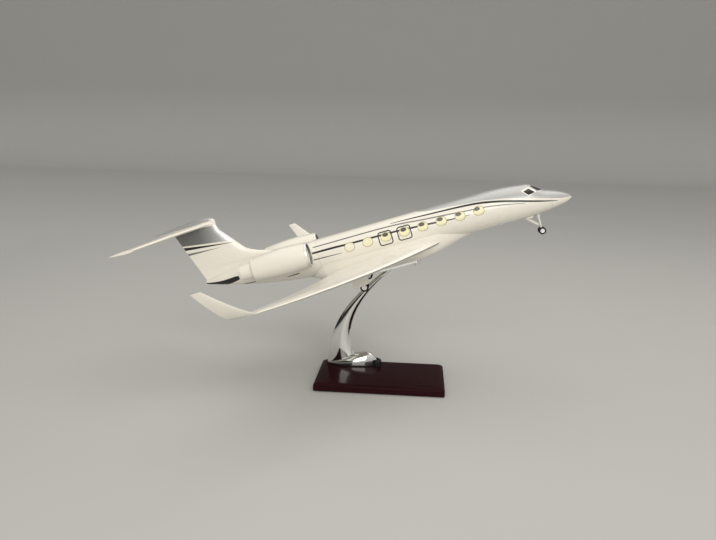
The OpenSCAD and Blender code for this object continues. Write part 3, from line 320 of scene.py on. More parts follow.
class Wiring:
    """Shader nodes in one tree, with places in the scene as their starting point."""

    def __init__(self, tree, place):
        self.tree = tree
        self.tree.nodes.clear()
        self.place = self.node("ShaderNodeTexCoord", output=place)

    def node(self, kind, settings=(), inputs=(), output=0):
        """Adds a node: its settings first, then what goes into its sockets."""
        made = self.tree.nodes.new(kind)
        for key, value in dict(settings).items():
            if key == "points":
                self.bend(made.mapping, value)
            else:
                setattr(made, key, value)
        for key, value in dict(inputs).items():
            self.join(value, made.inputs[key])
        return made if output is None else Port(self, made.outputs[output])

    def bend(self, mapping, points):
        """Leads a curve through points; a new one has two already."""
        line = mapping.curves[0]
        for place in points[2:]:
            line.points.new(*place)
        for point, place in zip(line.points, points):
            point.location = place
            point.handle_type = "AUTO"
        mapping.update()

    def join(self, value, socket):
        """Links a port to a socket, or sets the socket to a number or colour."""
        if isinstance(value, Port):
            self.tree.links.new(value.socket, socket)
        elif socket.type == "RGBA":
            socket.default_value = (*value, 1)
        else:
            socket.default_value = value

    def maths(self, operation, first, second, clamp=False):
        """One operation on two numbers."""
        return self.node("ShaderNodeMath", {"operation": operation, "use_clamp": clamp},
                         {0: first, 1: second})

    def dot(self, vector, direction):
        """How far a vector reaches along a direction."""
        return self.node("ShaderNodeVectorMath", {"operation": "DOT_PRODUCT"},
                         {0: vector, 1: tuple(direction)}, "Value")

    def mix(self, share, low, high):
        """A colour between two others."""
        return self.node("ShaderNodeMix", {"data_type": "RGBA"},
                         {MIX_SHARE: share, MIX_LOW: low, MIX_HIGH: high}, MIX_RESULT)

    def shades(self, share, colour, low, high):
        """A colour between two shades of one colour."""
        return self.mix(share, shade(colour, low), shade(colour, high))

    def along(self, direction, origin):
        """Distance along a direction from a point, in millimetres."""
        return (self.dot(self.place, direction) - direction.dot(origin)) / MM

    def noise(self, grain, detail=3.0, roughness=0.5, stretch=(1, 1, 1)):
        """Smooth noise with spots of about a grain across, in millimetres."""
        scaled = self.node("ShaderNodeVectorMath", {"operation": "MULTIPLY"},
                           {0: self.place, 1: stretch})
        return self.node("ShaderNodeTexNoise", {}, {
            "Vector": scaled, "Scale": 1 / (grain * MM), "Detail": detail,
            "Roughness": roughness})


class Finish(Wiring):
    """A material that is built up from shader nodes around one Principled shader."""

    def __init__(self, name, **constants):
        self.material = bpy.data.materials.new(name)
        self.material.use_nodes = True
        super().__init__(self.material.node_tree, "Object")
        self.shader = self.node("ShaderNodeBsdfPrincipled", output=None)
        surface = Port(self, self.shader.outputs["BSDF"])
        self.node("ShaderNodeOutputMaterial", {}, {"Surface": surface}, None)
        for socket, value in constants.items():
            self.feed(socket.replace("_", " ").title().replace("Ior", "IOR"), value)

    def feed(self, socket, value):
        """Sets a socket of the Principled shader, or links a port to it."""
        self.join(value, self.shader.inputs[socket])

    def facing(self, direction):
        """How far the surface faces a direction: 1 is straight at it."""
        return self.dot(self.node("ShaderNodeTexCoord", output="Normal"), direction)

    def mottle(self, spots, colour, low, high):
        """Colours the surface with spots of two shades of one colour."""
        self.feed("Base Color", self.shades(spots, colour, low, high))

    def polish(self, smoothest, spread, grain):
        """Roughness from a smoothest value upwards, in spots of about a grain across."""
        self.feed("Roughness", self.noise(grain) * spread + smoothest)

    def relief(self, height, depth, strength=1.0):
        """Bump from a height between 0 and 1 that is a depth in millimetres."""
        self.feed("Normal", self.node("ShaderNodeBump", {}, {
            "Height": height, "Distance": depth * MM, "Strength": strength}))

    def dress(self, *nodes):
        """Puts the finish on CAD nodes and on the skins that stand for them."""
        for name in nodes:
            for dressed in (frame["nodes"][name], *skins_of(name)):
                slots = dressed.data.materials
                slots.clear()
                slots.append(self.material)


class JetFinish(Finish):
    """A finish that knows the station, side and height of each point of the jet."""

    STATIONS = 420.0
    HEIGHTS = (-20.0, 30.0)
    HALVES = (0.0, 5.0)

    def __init__(self, name, **constants):
        super().__init__(name, **constants)
        self.station = self.along(FORWARD, TAIL_POINT)
        self.aside = self.along(ASIDE, TAIL_POINT)
        self.height = self.along(UPWARD, TAIL_POINT)
        self.softness = bpy.context.scene.jet_livery.edge_softness / MM

    def traced(self, points, low, high):
        """A smooth value along the stations, through points of station and value."""
        placed = sorted((x / self.STATIONS, (v - low) / (high - low)) for x, v in points)
        return self.node("ShaderNodeFloatCurve", {"points": placed},
                         {"Value": self.station / self.STATIONS}) * (high - low) + low

    def stripe(self, line):
        """Mask of a line of station, height and width."""
        middle = self.traced([(x, z) for x, z, width in line], *self.HEIGHTS)
        half = self.traced([(x, width / 2) for x, z, width in line], *self.HALVES)
        stations = [x for x, z, width in line]
        ends = self.station.between(min(stations), max(stations), 1.0)
        return abs(self.height - middle).below(half, self.softness) * ends

    def inside(self, corners):
        """Mask of a flat shape whose corners of station and height run clockwise."""
        mask = 1.0
        for (x0, z0), (x1, z1) in zip(corners, corners[1:] + corners[:1]):
            size = math.hypot(x1 - x0, z1 - z0)
            ahead = (self.station - x0) * ((z1 - z0) / size)
            depth = ahead - (self.height - z0) * ((x1 - x0) / size)
            mask = depth.above(0, self.softness) * mask
        return mask

    def outline(self, middle, half, corner, width):
        """Mask of a line round a square with rounded corners."""
        along = self.maths("MAXIMUM", abs(self.station - middle[0]) - (half[0] - corner), 0)
        up = self.maths("MAXIMUM", abs(self.height - middle[1]) - (half[1] - corner), 0)
        return abs((along ** 2 + up ** 2) ** 0.5 - corner).below(width / 2, self.softness)

    def dusted(self, colour):
        """A colour with the faint clouds that dust and handling leave."""
        return self.shades(self.noise(45.0, 4.0, 0.6) * 0.25, colour, 1.0, 0.9)

    def clear_coat(self, bare):
        """Clear coat all over, and little of it on a mask."""
        self.feed("Coat Weight", COAT - bare * COAT_LOST)

    def handled(self):
        """Roughness of lacquer that has been handled and dusted."""
        return LACQUER_GLOSS + self.noise(22.0, 1.0) * 0.08

    def paint_relief(self):
        """The faint orange peel of sprayed lacquer."""
        peel = self.noise(5.0, 1.0) * 0.4 + self.noise(14.0, 1.0) * 0.6
        self.relief(peel, 0.006, 0.35)


# Settings


def tint(name, description, default):
    """A colour that a user would change."""
    return bpy.props.FloatVectorProperty(name=name, description=description, default=default,
                                         size=3, min=0, max=1, subtype="COLOR")


def length(name, description, default):
    """A length that a user would change; the default is in millimetres."""
    return bpy.props.FloatProperty(name=name, description=description, default=default * MM,
                                   min=0, unit="LENGTH", subtype="DISTANCE")


def strength(name, description, default):
    """The strength of a light that a user would change."""
    return bpy.props.FloatProperty(name=name, description=description, default=default,
                                   min=0, max=5)


class JetLivery(bpy.types.PropertyGroup):
    """Colours and trim of the jet."""

    white: tint("White", "Gloss white of the airframe", (0.80, 0.76, 0.67))
    silver: tint("Silver", "Silver of the upper nose and the top of the fin", (0.41, 0.41, 0.40))
    black: tint("Black", "Bold cheat lines", (0.016, 0.015, 0.017))
    grey: tint("Grey", "Thin cheat lines", (0.16, 0.155, 0.15))
    lit: tint("Lit window", "Cabin windows with the light on", (0.76, 0.72, 0.46))
    rim: tint("Window rim", "Thin metal frame round a window", (0.34, 0.30, 0.17))
    glow: strength("Glow", "Strength of the cabin light", 0.05)
    edge_softness: length("Edge softness", "Softness of the masked edges of the paint", 0.14)
    rim_width: length("Rim width", "Width of a window's metal frame", 0.5)
    rim_height: length("Rim height", "Height of the metal frame above the skin", 0.16)


class StandLook(bpy.types.PropertyGroup):
    """Colours of the stand and the fittings."""

    lacquer: tint("Lacquer", "Dark cherry lacquer of the base", (0.020, 0.0055, 0.0065))
    chrome: tint("Chrome", "Plating of the arm", (0.80, 0.80, 0.78))
    felt: tint("Felt", "Felt under the base", (0.012, 0.020, 0.015))
    rubber: tint("Rubber", "Rubber of the gasket and the tyres", (0.010, 0.010, 0.010))
    gear: tint("Gear", "Paint of the landing gear", (0.74, 0.71, 0.64))
    metal: tint("Metal", "Fans of the engines", (0.42, 0.42, 0.43))


class StageLook(bpy.types.PropertyGroup):
    """Floor, backdrop and lamps."""

    floor: tint("Floor", "Colour of the floor and the backdrop", (0.46, 0.455, 0.435))
    sky: strength("Sky", "Strength of the light from above", 0.78)
    room: strength("Room", "Strength of the light from the sides", 0.56)
    lamp: bpy.props.FloatProperty(name="Lamp", description="Power that each lamp has a share of",
                                  default=12.5, min=0, unit="POWER")
    reach: length("Reach", "Distance from the middle of the floor to its edge", 4000)


# Pieces


def superellipse(half_wide, half_high, exponent, steps):
    """Points round an oval, squarer than an ellipse where the exponent is below 1."""
    points = []
    for i in range(steps):
        a = 2 * math.pi * i / steps
        c, s = math.cos(a), math.sin(a)
        points.append((half_wide * math.copysign(abs(c) ** exponent, c),
                       half_high * math.copysign(abs(s) ** exponent, s)))
    return points


def wall(start, sides, rows):
    """Faces between rows of points that are numbered from a start, each row a closed ring."""
    faces = []
    for i in range(rows - 1):
        for j in range(sides):
            a, b = start + i * sides + j, start + i * sides + (j + 1) % sides
            faces.append((a, b, b + sides, a + sides))
    return faces


def link(thing):
    """Puts an object into the scene."""
    bpy.context.scene.collection.objects.link(thing)
    return thing


def mesh_piece(name, points, faces, body, slot, crease=None):
    """A mesh that rides on a body, with sharp edges where it bends more than a crease."""
    mesh = bpy.data.meshes.new(name)
    mesh.from_pydata([tuple(p) for p in points], [], faces)
    mesh.validate()
    mesh.update()
    for face in mesh.polygons:
        face.use_smooth = True
    if crease is not None:
        mesh.set_sharp_from_angle(angle=math.radians(crease))
    piece = link(bpy.data.objects.new(name, mesh))
    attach(piece, body)
    return piece


def skin_point(station, height, side, proud):
    """A point on the round cabin, or a little above its skin."""
    radius = CABIN_RADIUS + proud
    return in_world(station, side * math.sqrt(radius ** 2 - (height + CABIN_DROP) ** 2), height)


def window_frames(side, width, height):
    """Half-round frames round all the windows of one side: points and faces."""
    points, faces = [], []
    for i in range(WINDOW_COUNT):
        start = len(points)
        for j in range(FRAME_TURNS):
            a = math.pi * j / (FRAME_TURNS - 1)
            grow = width / 2 - width / 2 * math.cos(a)
            half = [size + grow - FRAME_LAP for size in WINDOW_HALF]
            for u, v in superellipse(*half, FRAME_EXPONENT, FRAME_STEPS):
                points.append(skin_point(WINDOW_FIRST + i * WINDOW_PITCH + u, WINDOW_HEIGHT + v,
                                         side, height * math.sin(a) - FRAME_SINK))
        closed = wall(start, FRAME_STEPS, FRAME_TURNS)
        back = (FRAME_TURNS - 1) * FRAME_STEPS
        for k in range(FRAME_STEPS):
            a, b = start + k, start + (k + 1) % FRAME_STEPS
            closed.append((b, a, a + back, b + back))
        faces += closed if side < 0 else [face[::-1] for face in closed]
    return points, faces


def body_and_slot(node):
    """The body that carries a CAD node, and the record's material slot for it."""
    record = frame["record"]
    body = next(b for b, nodes in record["behaviour"]["bodies"].items() if node in nodes)
    slot = next(part["material_slot"] for part in record["subparts"] if part["node"] == node)
    return body, slot


def welded(node, lowest=None):
    """Points and faces of a node, with its seams closed, from a height of the jet upwards."""
    shape = bmesh.new()
    shape.from_mesh(frame["nodes"][node].data)
    bmesh.ops.remove_doubles(shape, verts=shape.verts, dist=WELD * MM)
    if lowest is not None:
        low = [v for v in shape.verts if (v.co - TAIL_POINT).dot(UPWARD) < lowest * MM]
        bmesh.ops.delete(shape, geom=low, context="VERTS")
    shape.verts.index_update()
    points = [v.co.copy() for v in shape.verts]
    faces = [[v.index for v in face.verts] for face in shape.faces]
    shape.free()
    return points, faces


def ease(t):
    """A share that starts and ends gently."""
    return (1 - math.cos(math.pi * t)) / 2


def foot_ring(t, sides):
    """Half an oval across the leaf-shaped foot, at a share of its length from its tip."""
    half = FOOT_WIDTH / 2 * math.sin(math.pi * t ** FOOT_LEAF[0]) ** FOOT_LEAF[1]
    if t < FOOT_HUMP:
        high = FOOT_TIP + (FOOT_HEIGHT - FOOT_TIP) * ease(t / FOOT_HUMP) ** FOOT_RISE
    else:
        fall = (t - FOOT_HUMP) / (FOOT_END - FOOT_HUMP)
        high = FOOT_HEIGHT * math.sqrt(max(0.02, 1 - fall ** 2))
    turns = [math.pi * i / (sides - 1) for i in range(sides)]
    return [(FOOT_BACK + FOOT_LENGTH * t, STAND_BACK + half * math.cos(a),
             FOOT_BASE + high * max(0.0, math.sin(a)) ** FOOT_ROUND) for a in turns]


def arm_edge(corners, t):
    """A point of one edge of the arm, seen from the side, at a share of its rise."""
    start, *bends, station = corners
    top = in_world(station, 0, SADDLE_UNDER) / MM
    rise = in_world(FRONT_EDGE[-1], 0, SADDLE_UNDER).z / MM - FOOT_BASE
    bends = [start, *[(x, FOOT_BASE + rise * share) for x, share in bends], (top.x, top.z)]
    weights = ((1 - t) ** 3, 3 * t * (1 - t) ** 2, 3 * t * t * (1 - t), t ** 3)
    return [sum(w * bend[i] for w, bend in zip(weights, bends)) for i in (0, 1)]


def arm_ring(t, sides):
    """A rounded oval across the arm at a share of its rise."""
    front, rear = arm_edge(FRONT_EDGE, t), arm_edge(REAR_EDGE, t)
    thick = (ARM_THICK[0] + (ARM_THICK[1] - ARM_THICK[0]) * t) / 2
    middle = [(f + r) / 2 for f, r in zip(front, rear)]
    half = [(f - r) / 2 for f, r in zip(front, rear)]
    return [(middle[0] + half[0] * u, STAND_BACK + v, middle[1] + half[1] * u)
            for u, v in superellipse(1, thick, ARM_EXPONENT, sides)]


def loft(rings):
    """Points in metres and faces of a closed skin over rings of equally many points."""
    sides = len(rings[0])
    points = [Vector(p) * MM for ring in rings for p in ring]
    faces = wall(0, sides, len(rings))
    faces.append(tuple(range(sides))[::-1])
    faces.append(tuple(range(len(points) - sides, len(points))))
    return points, faces


# Operators


class RoundSkins(bpy.types.Operator):
    """Rounds over the facets of the lofted parts, and lofts the foot and the arm more finely"""

    bl_idname = "model_jet.round_skins"
    bl_label = "Round the skins"

    def execute(self, context):
        for node, crease in ROUNDED.items():
            skin = mesh_piece(node + "_skin", *welded(node), *body_and_slot(node), crease)
            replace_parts(skin, node)
        first, span = FOOT_SPAN
        shares = [ease(i / FOOT_RINGS) for i in range(FOOT_RINGS + 1)]
        foot = loft([foot_ring(first + span * t, FOOT_SIDES) for t in shares][::-1])
        arm = loft([arm_ring(1 - i / ARM_RINGS, ARM_SIDES) for i in range(ARM_RINGS + 1)])
        saddle = welded("stand_arm", SADDLE_PLATE)
        for name, shape in (("foot_skin", foot), ("arm_skin", arm), ("saddle_skin", saddle)):
            skin = mesh_piece(name, *shape, *body_and_slot("stand_arm"), CAST_CREASE)
            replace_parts(skin, "stand_arm")
        return {"FINISHED"}


class PaintAirframe(bpy.types.Operator):
    """Sprays the fuselage with white, a silver upper nose and the cheat lines"""

    bl_idname = "model_jet.paint_airframe"
    bl_label = "Paint the airframe"

    def execute(self, context):
        livery = context.scene.jet_livery
        skin = JetFinish("airframe_paint", **LACQUER)
        soft = skin.softness
        silver = skin.height.above(skin.traced(SILVER_EDGE, *skin.HEIGHTS), soft)
        silver = silver * skin.station.above(SILVER_END, 1.0) * (1 - skin.inside(COCKPIT_FRAME))
        flaked = skin.shades(skin.noise(0.35, 1.0) * 0.3, livery.silver, 1.0, 1.25)
        colour = skin.mix(silver, skin.dusted(livery.white), flaked)
        bold = skin.stripe(UPPER_LINE) | skin.stripe(LOWER_LINE)
        for middle in EXITS:
            bold = bold | skin.outline(middle, EXIT_HALF, EXIT_CORNER, EXIT_LINE)
        panel = skin.height.below(skin.traced(PANEL_TOP, *skin.HEIGHTS), soft)
        panel = panel * skin.height.above(skin.traced(PANEL_FOOT, *skin.HEIGHTS), soft)
        bold = bold | panel * skin.station.below(PANEL_END, 0.4)
        thin = skin.stripe(MIDDLE_LINE) | skin.stripe(BELLY_LINE)
        slots = skin.stripe(UNDER_NACELLE_LINE) | skin.stripe(SLOT_LINE)
        nose, tail = (abs(skin.station - joint).below(JOINT_HALF, soft)
                      for joint in MOULD_JOINTS)
        colour = skin.mix(thin, colour, livery.grey)
        colour = skin.mix(slots * 0.8, colour, livery.black)
        colour = skin.mix(bold, colour, livery.black)
        skin.feed("Base Color", skin.mix((nose | tail) * 0.5, colour, livery.grey))
        skin.feed("Metallic", silver * (1 - bold) * (1 - thin) * SILVER_METALLIC)
        skin.clear_coat(bold)
        skin.feed("Roughness", skin.handled() + silver * 0.14)
        skin.paint_relief()
        skin.dress("fuselage_right", "fuselage_left", "nose_cone", "tail_section")
        return {"FINISHED"}


class PaintTail(bpy.types.Operator):
    """Sprays the fin and the fairing on its top"""

    bl_idname = "model_jet.paint_tail"
    bl_label = "Paint the tail"

    def execute(self, context):
        livery = context.scene.jet_livery
        fin = JetFinish("fin_paint", **LACQUER)
        fall, edge = FIN_SILVER
        silver = (fin.height + fin.station * fall).above(edge, fin.softness)
        silver = silver * fin.facing(FORWARD).below(0.8, 0.1)
        # Painted light: the silver is painted darker aft as shade, and lighter forward and on the
        # top fairing as highlight
        start, span = FIN_PAINTED_LIGHT
        bright = ((fin.station - start) / span).clamped() ** 1.6
        bright = bright | fin.height.above(FIN_PAINTED_LIGHT_TOP, 1.5) * 0.5
        taper = (fin.station - FIN_REAR) / FIN_CHORD
        black, grey = (
            abs(fin.height + fin.station * fall - height).below(half - taper * lost, fin.softness)
            for fall, height, half, lost in (FIN_BLACK, FIN_GREY))
        # The silver runs between a painted-shade copy and a painted-highlight copy of itself
        colour = fin.mix(silver, livery.white, fin.shades(bright, livery.silver, 0.4, 1.7))
        colour = fin.mix(grey, colour, livery.grey)
        fin.feed("Base Color", fin.mix(black, colour, livery.black))
        fin.feed("Metallic", silver * SILVER_METALLIC)
        fin.clear_coat(black)
        fin.feed("Roughness", fin.handled())
        fin.paint_relief()
        fin.dress("fin", "tail_bullet")
        return {"FINISHED"}


class PaintWhites(bpy.types.Operator):
    """Sprays the wings, tailplane, belly, engine cowls and the other plain white parts"""

    bl_idname = "model_jet.paint_whites"
    bl_label = "Paint the plain white parts"

    def execute(self, context):
        livery = context.scene.jet_livery
        white = JetFinish("white_paint", roughness=0.28, coat_weight=COAT, **LACQUER)
        # The painted shadow runs along the leading edge, which is straight in plan, on the lower
        # side only
        spread = abs(white.aside)
        edge_shadow = abs(white.station + spread * WING_SWEEP - WING_LEAD).below(WING_SHADOW_HALF, 0.5)
        edge_shadow = edge_shadow * spread.above(WING_SHADOW_START, 0.4) * spread.below(*WING_SHADOW_FADE)
        edge_shadow = edge_shadow * white.facing(UPWARD).below(-0.25, 0.3) * white.height.below(-2, 1)
        # The white is painted grey where the painted shadow lies
        white.feed("Base Color", white.mix(edge_shadow * 0.75, white.dusted(livery.white), livery.grey))
        white.paint_relief()
        white.dress("belly_fairing", "battery_cover", "wing_right", "wing_left", "tailplane",
                    "pylon_right", "pylon_left", "cowl_right", "cowl_left",
                    "nozzle_right", "nozzle_left")
        return {"FINISHED"}


class GlazeWindows(bpy.types.Operator):
    """Glazes the cockpit, lights the cabin windows and frames them"""

    bl_idname = "model_jet.glaze_windows"
    bl_label = "Glaze the windows"

    def execute(self, context):
        livery = context.scene.jet_livery
        self.glaze_cockpit()
        self.light_panes(livery)
        metal = Finish("window_rim", metallic=0.9)
        metal.mottle(metal.noise(1.5), livery.rim, 1.0, 1.2)
        metal.polish(0.2, 0.2, 3.0)
        for side, name in ((-1, "window_frames_right"), (1, "window_frames_left")):
            shape = window_frames(side, livery.rim_width / MM, livery.rim_height / MM)
            frames = mesh_piece(name, *shape, "jet", "window_panes")
            frames.data.materials.append(metal.material)
        return {"FINISHED"}

    def glaze_cockpit(self):
        """Dark glass, a little uneven."""
        glass = JetFinish("cockpit_glass", roughness=0.12, specular_ior_level=0.3,
                          coat_weight=0.3, coat_roughness=0.03)
        dark, bright = (0.008, 0.009, 0.010), (0.02, 0.021, 0.022)
        glass.feed("Base Color", glass.mix(glass.noise(9.0), dark, bright))
        glass.dress("cockpit_glazing")

    def light_panes(self, livery):
        """Panes from white at the rear to warm light, most with a crescent of painted shade."""
        pane = JetFinish("lit_window", roughness=0.3, specular_ior_level=0.3, coat_weight=0.3,
                         coat_roughness=0.08, emission_strength=livery.glow)
        count = ((pane.station - WINDOW_FIRST) / WINDOW_PITCH).rounded()
        along = (pane.station - WINDOW_FIRST - count * WINDOW_PITCH) / WINDOW_HALF[0]
        up = (pane.height - WINDOW_HEIGHT) / WINDOW_HALF[1]
        lean = along + count * SHADE_LEAN - SHADE_LEAN
        inner = (abs(lean) / SHADE_HALF[0]) ** 2 + (abs(up - SHADE_UP) / SHADE_HALF[1]) ** 2
        # Painted shade: the top of each pane is darkened where the cabin behind it is dark
        crescent = inner.below(1.0, 0.45) * count.above(1.5, 0.2)
        warmth = (count * 0.35 + 0.4).clamped()
        lit = pane.mix(warmth, shade(livery.white, 0.96), livery.lit)
        colour = pane.mix(crescent * 0.96, lit, shade(livery.lit, 0.06))
        pane.feed("Base Color", colour)
        pane.feed("Emission Color", colour)
        pane.dress("window_strip_right", "window_strip_left")


class FinishEngines(bpy.types.Operator):
    """Finishes the lips and the fans of the engines"""

    bl_idname = "model_jet.finish_engines"
    bl_label = "Finish the engines"

    def execute(self, context):
        stand = context.scene.stand_look
        lip = JetFinish("lip_metal", metallic=0.4)
        aside, up = abs(lip.aside) - ENGINE_ASIDE, lip.height - ENGINE_HEIGHT
        # Painted shade: the lip is dark inside that radius, where the intake lies in shadow
        inside = ((aside ** 2 + up ** 2) ** 0.5).below(LIP_SHADE_RADIUS, 0.5)
        silver = lip.mix(lip.noise(2.0), (0.72, 0.71, 0.67), (0.78, 0.77, 0.73))
        lip.feed("Base Color", lip.mix(inside, silver, (0.16, 0.16, 0.155)))
        lip.polish(0.22, 0.12, 4.0)
        lip.dress("intake_lip_right", "intake_lip_left")
        fan = Finish("fan_metal", metallic=0.9)
        fan.mottle(fan.noise(1.5), stand.metal, 0.25, 0.5)
        fan.polish(0.25, 0.2, 2.0)
        fan.dress("fan_right", "fan_left")
        return {"FINISHED"}


class FinishGear(bpy.types.Operator):
    """Finishes the legs, doors, tyres and hubs of the landing gear"""

    bl_idname = "model_jet.finish_gear"
    bl_label = "Finish the landing gear"

    def execute(self, context):
        stand = context.scene.stand_look
        leg = Finish("gear_paint", coat_weight=0.3, coat_roughness=0.15)
        leg.mottle(leg.noise(3.0), stand.gear, 1.0, 0.88)
        leg.polish(0.3, 0.15, 2.0)
        leg.relief(leg.noise(0.8), 0.02, 0.5)
        leg.dress("nose_leg", "nose_brace", "nose_doors", "main_leg_right", "main_leg_left",
                  "main_door_right", "main_door_left")
        wheels = ("nose_{}_right", "nose_{}_left", "main_{}_right_outer", "main_{}_right_inner",
                  "main_{}_left_outer", "main_{}_left_inner")
        tyre = Finish("tyre_rubber", specular_ior_level=0.2)
        tyre.mottle(tyre.noise(0.8), stand.rubber, 1.0, 2.0)
        tyre.polish(0.5, 0.2, 1.5)
        tyre.relief(tyre.noise(0.4), 0.03, 0.6)
        tyre.dress(*[name.format("tyre") for name in wheels])
        hub = Finish("hub_metal", metallic=0.3)
        hub.feed("Base Color", hub.mix(hub.noise(1.0), (0.72, 0.72, 0.71), (0.82, 0.82, 0.81)))
        hub.polish(0.25, 0.15, 1.2)
        hub.dress("axle_caps", *[name.format("hub") for name in wheels])
        return {"FINISHED"}


class FinishStand(bpy.types.Operator):
    """Plates the arm, lacquers the base and finishes its felt and the rubber under the foot"""

    bl_idname = "model_jet.finish_stand"
    bl_label = "Finish the stand"

    def execute(self, context):
        stand = context.scene.stand_look
        plate = Finish("chrome_plate", metallic=1.0)
        smear = plate.noise(18.0, 4.0, 0.6)
        plate.mottle(smear, stand.chrome, 1.0, 0.93)
        plate.feed("Roughness", smear * 0.05 + 0.03)
        plate.relief(plate.noise(16.0, 1.0), 0.05, 0.5)
        plate.dress("stand_arm", "thumb_screw")
        wood = Finish("cherry_lacquer", roughness=0.14, specular_ior_level=0.012)
        wood.mottle(wood.noise(3.5, 5.0, 0.6, stretch=(0.08, 1, 1)), stand.lacquer, 0.6, 1.5)
        wood.relief(wood.noise(30.0, 2.0), 0.05, 0.4)
        wood.dress("base_board")
        felt = Finish("base_felt", roughness=0.95)
        fibre = felt.noise(0.5, 4.0, 0.7)
        felt.mottle(fibre, stand.felt, 0.6, 2.0)
        felt.relief(fibre, 0.2)
        felt.dress("base_felt")
        rubber = Finish("gasket_rubber", specular_ior_level=0.2)
        rubber.mottle(rubber.noise(1.2), stand.rubber, 1.0, 1.8)
        rubber.polish(0.32, 0.2, 4.0)
        rubber.relief(rubber.noise(0.6), 0.02, 0.5)
        rubber.dress("foot_gasket")
        return {"FINISHED"}


class FinishFittings(bpy.types.Operator):
    """Finishes the screws, the insert and the parts of the cabin light"""

    bl_idname = "model_jet.finish_fittings"
    bl_label = "Finish the small fittings"

    # Name of the finish, its colour, its smoothest roughness and the nodes that it goes on
    METALS = (
        ("zinc_steel", (0.55, 0.56, 0.58), 0.28, ("foot_screws", "cover_screw")),
        ("cell_steel", (0.66, 0.66, 0.65), 0.2, ("button_cells",)),
        ("brass_insert", (0.62, 0.42, 0.16), 0.25, ("saddle_insert",)),
    )
    PLASTICS = (
        ("circuit_board", (0.012, 0.13, 0.045), 0.35, ("light_board",)),
        ("lead_sleeve", (0.42, 0.012, 0.012), 0.4, ("battery_lead",)),
        ("switch_black", (0.012, 0.012, 0.013), 0.4, ("light_switch",)),
    )

    def execute(self, context):
        for name, colour, smoothest, nodes in self.METALS:
            metal = Finish(name, metallic=1.0)
            metal.mottle(metal.noise(1.5), colour, 1.0, 0.75)
            metal.polish(smoothest, 0.2, 0.8)
            metal.dress(*nodes)
        for name, colour, smoothest, nodes in self.PLASTICS:
            plastic = Finish(name)
            plastic.mottle(plastic.noise(1.2), colour, 1.0, 0.7)
            plastic.polish(smoothest, 0.15, 0.9)
            plastic.relief(plastic.noise(0.5), 0.02, 0.4)
            plastic.dress(*nodes)
        return {"FINISHED"}


# The photograph's camera: place in metres, turn in degrees, and focal length for its width
CAMERA_PLACE = Vector((0.0314, -0.7861, 0.2651))
CAMERA_YAW = -4.28
CAMERA_DIP = 10.42
CAMERA_ROLL = 1.47
FOCAL_PIXELS = 760.0
FRAME_PIXELS = 716.0
SENSOR = 36.0

# The curve from the floor to the backdrop, in metres, and its steps
SWEEP_BEND = 0.5
SWEEP_STEPS = 16

# The black card that the plated arm reflects, in metres
FLAG_X = -0.9
FLAG_Y = (-6.0, 1.0)
FLAG_Z = (0.09, 1.2)

# Lamps: name, place and size in metres, and share of the lamp's power. All point at the jet.
LAMPS = (("overhead", (0.2, 0.3, 1.3), 1.2, 0.42),
         ("front", (0.35, -1.95, 1.0), 1.4, 2.1))
LAMP_COLOUR = (1.0, 0.975, 0.93)
LAMP_AIM = 0.15
SKY_COLOUR = (1.0, 0.985, 0.955)
# How high in the sky the light of the room ends and the light from above is full, the height of
# the horizon, and how much light there is below it
SKY_FROM = 0.2
SKY_FULL = 0.8
HORIZON = 0.05
GROUND_SHARE = 0.6


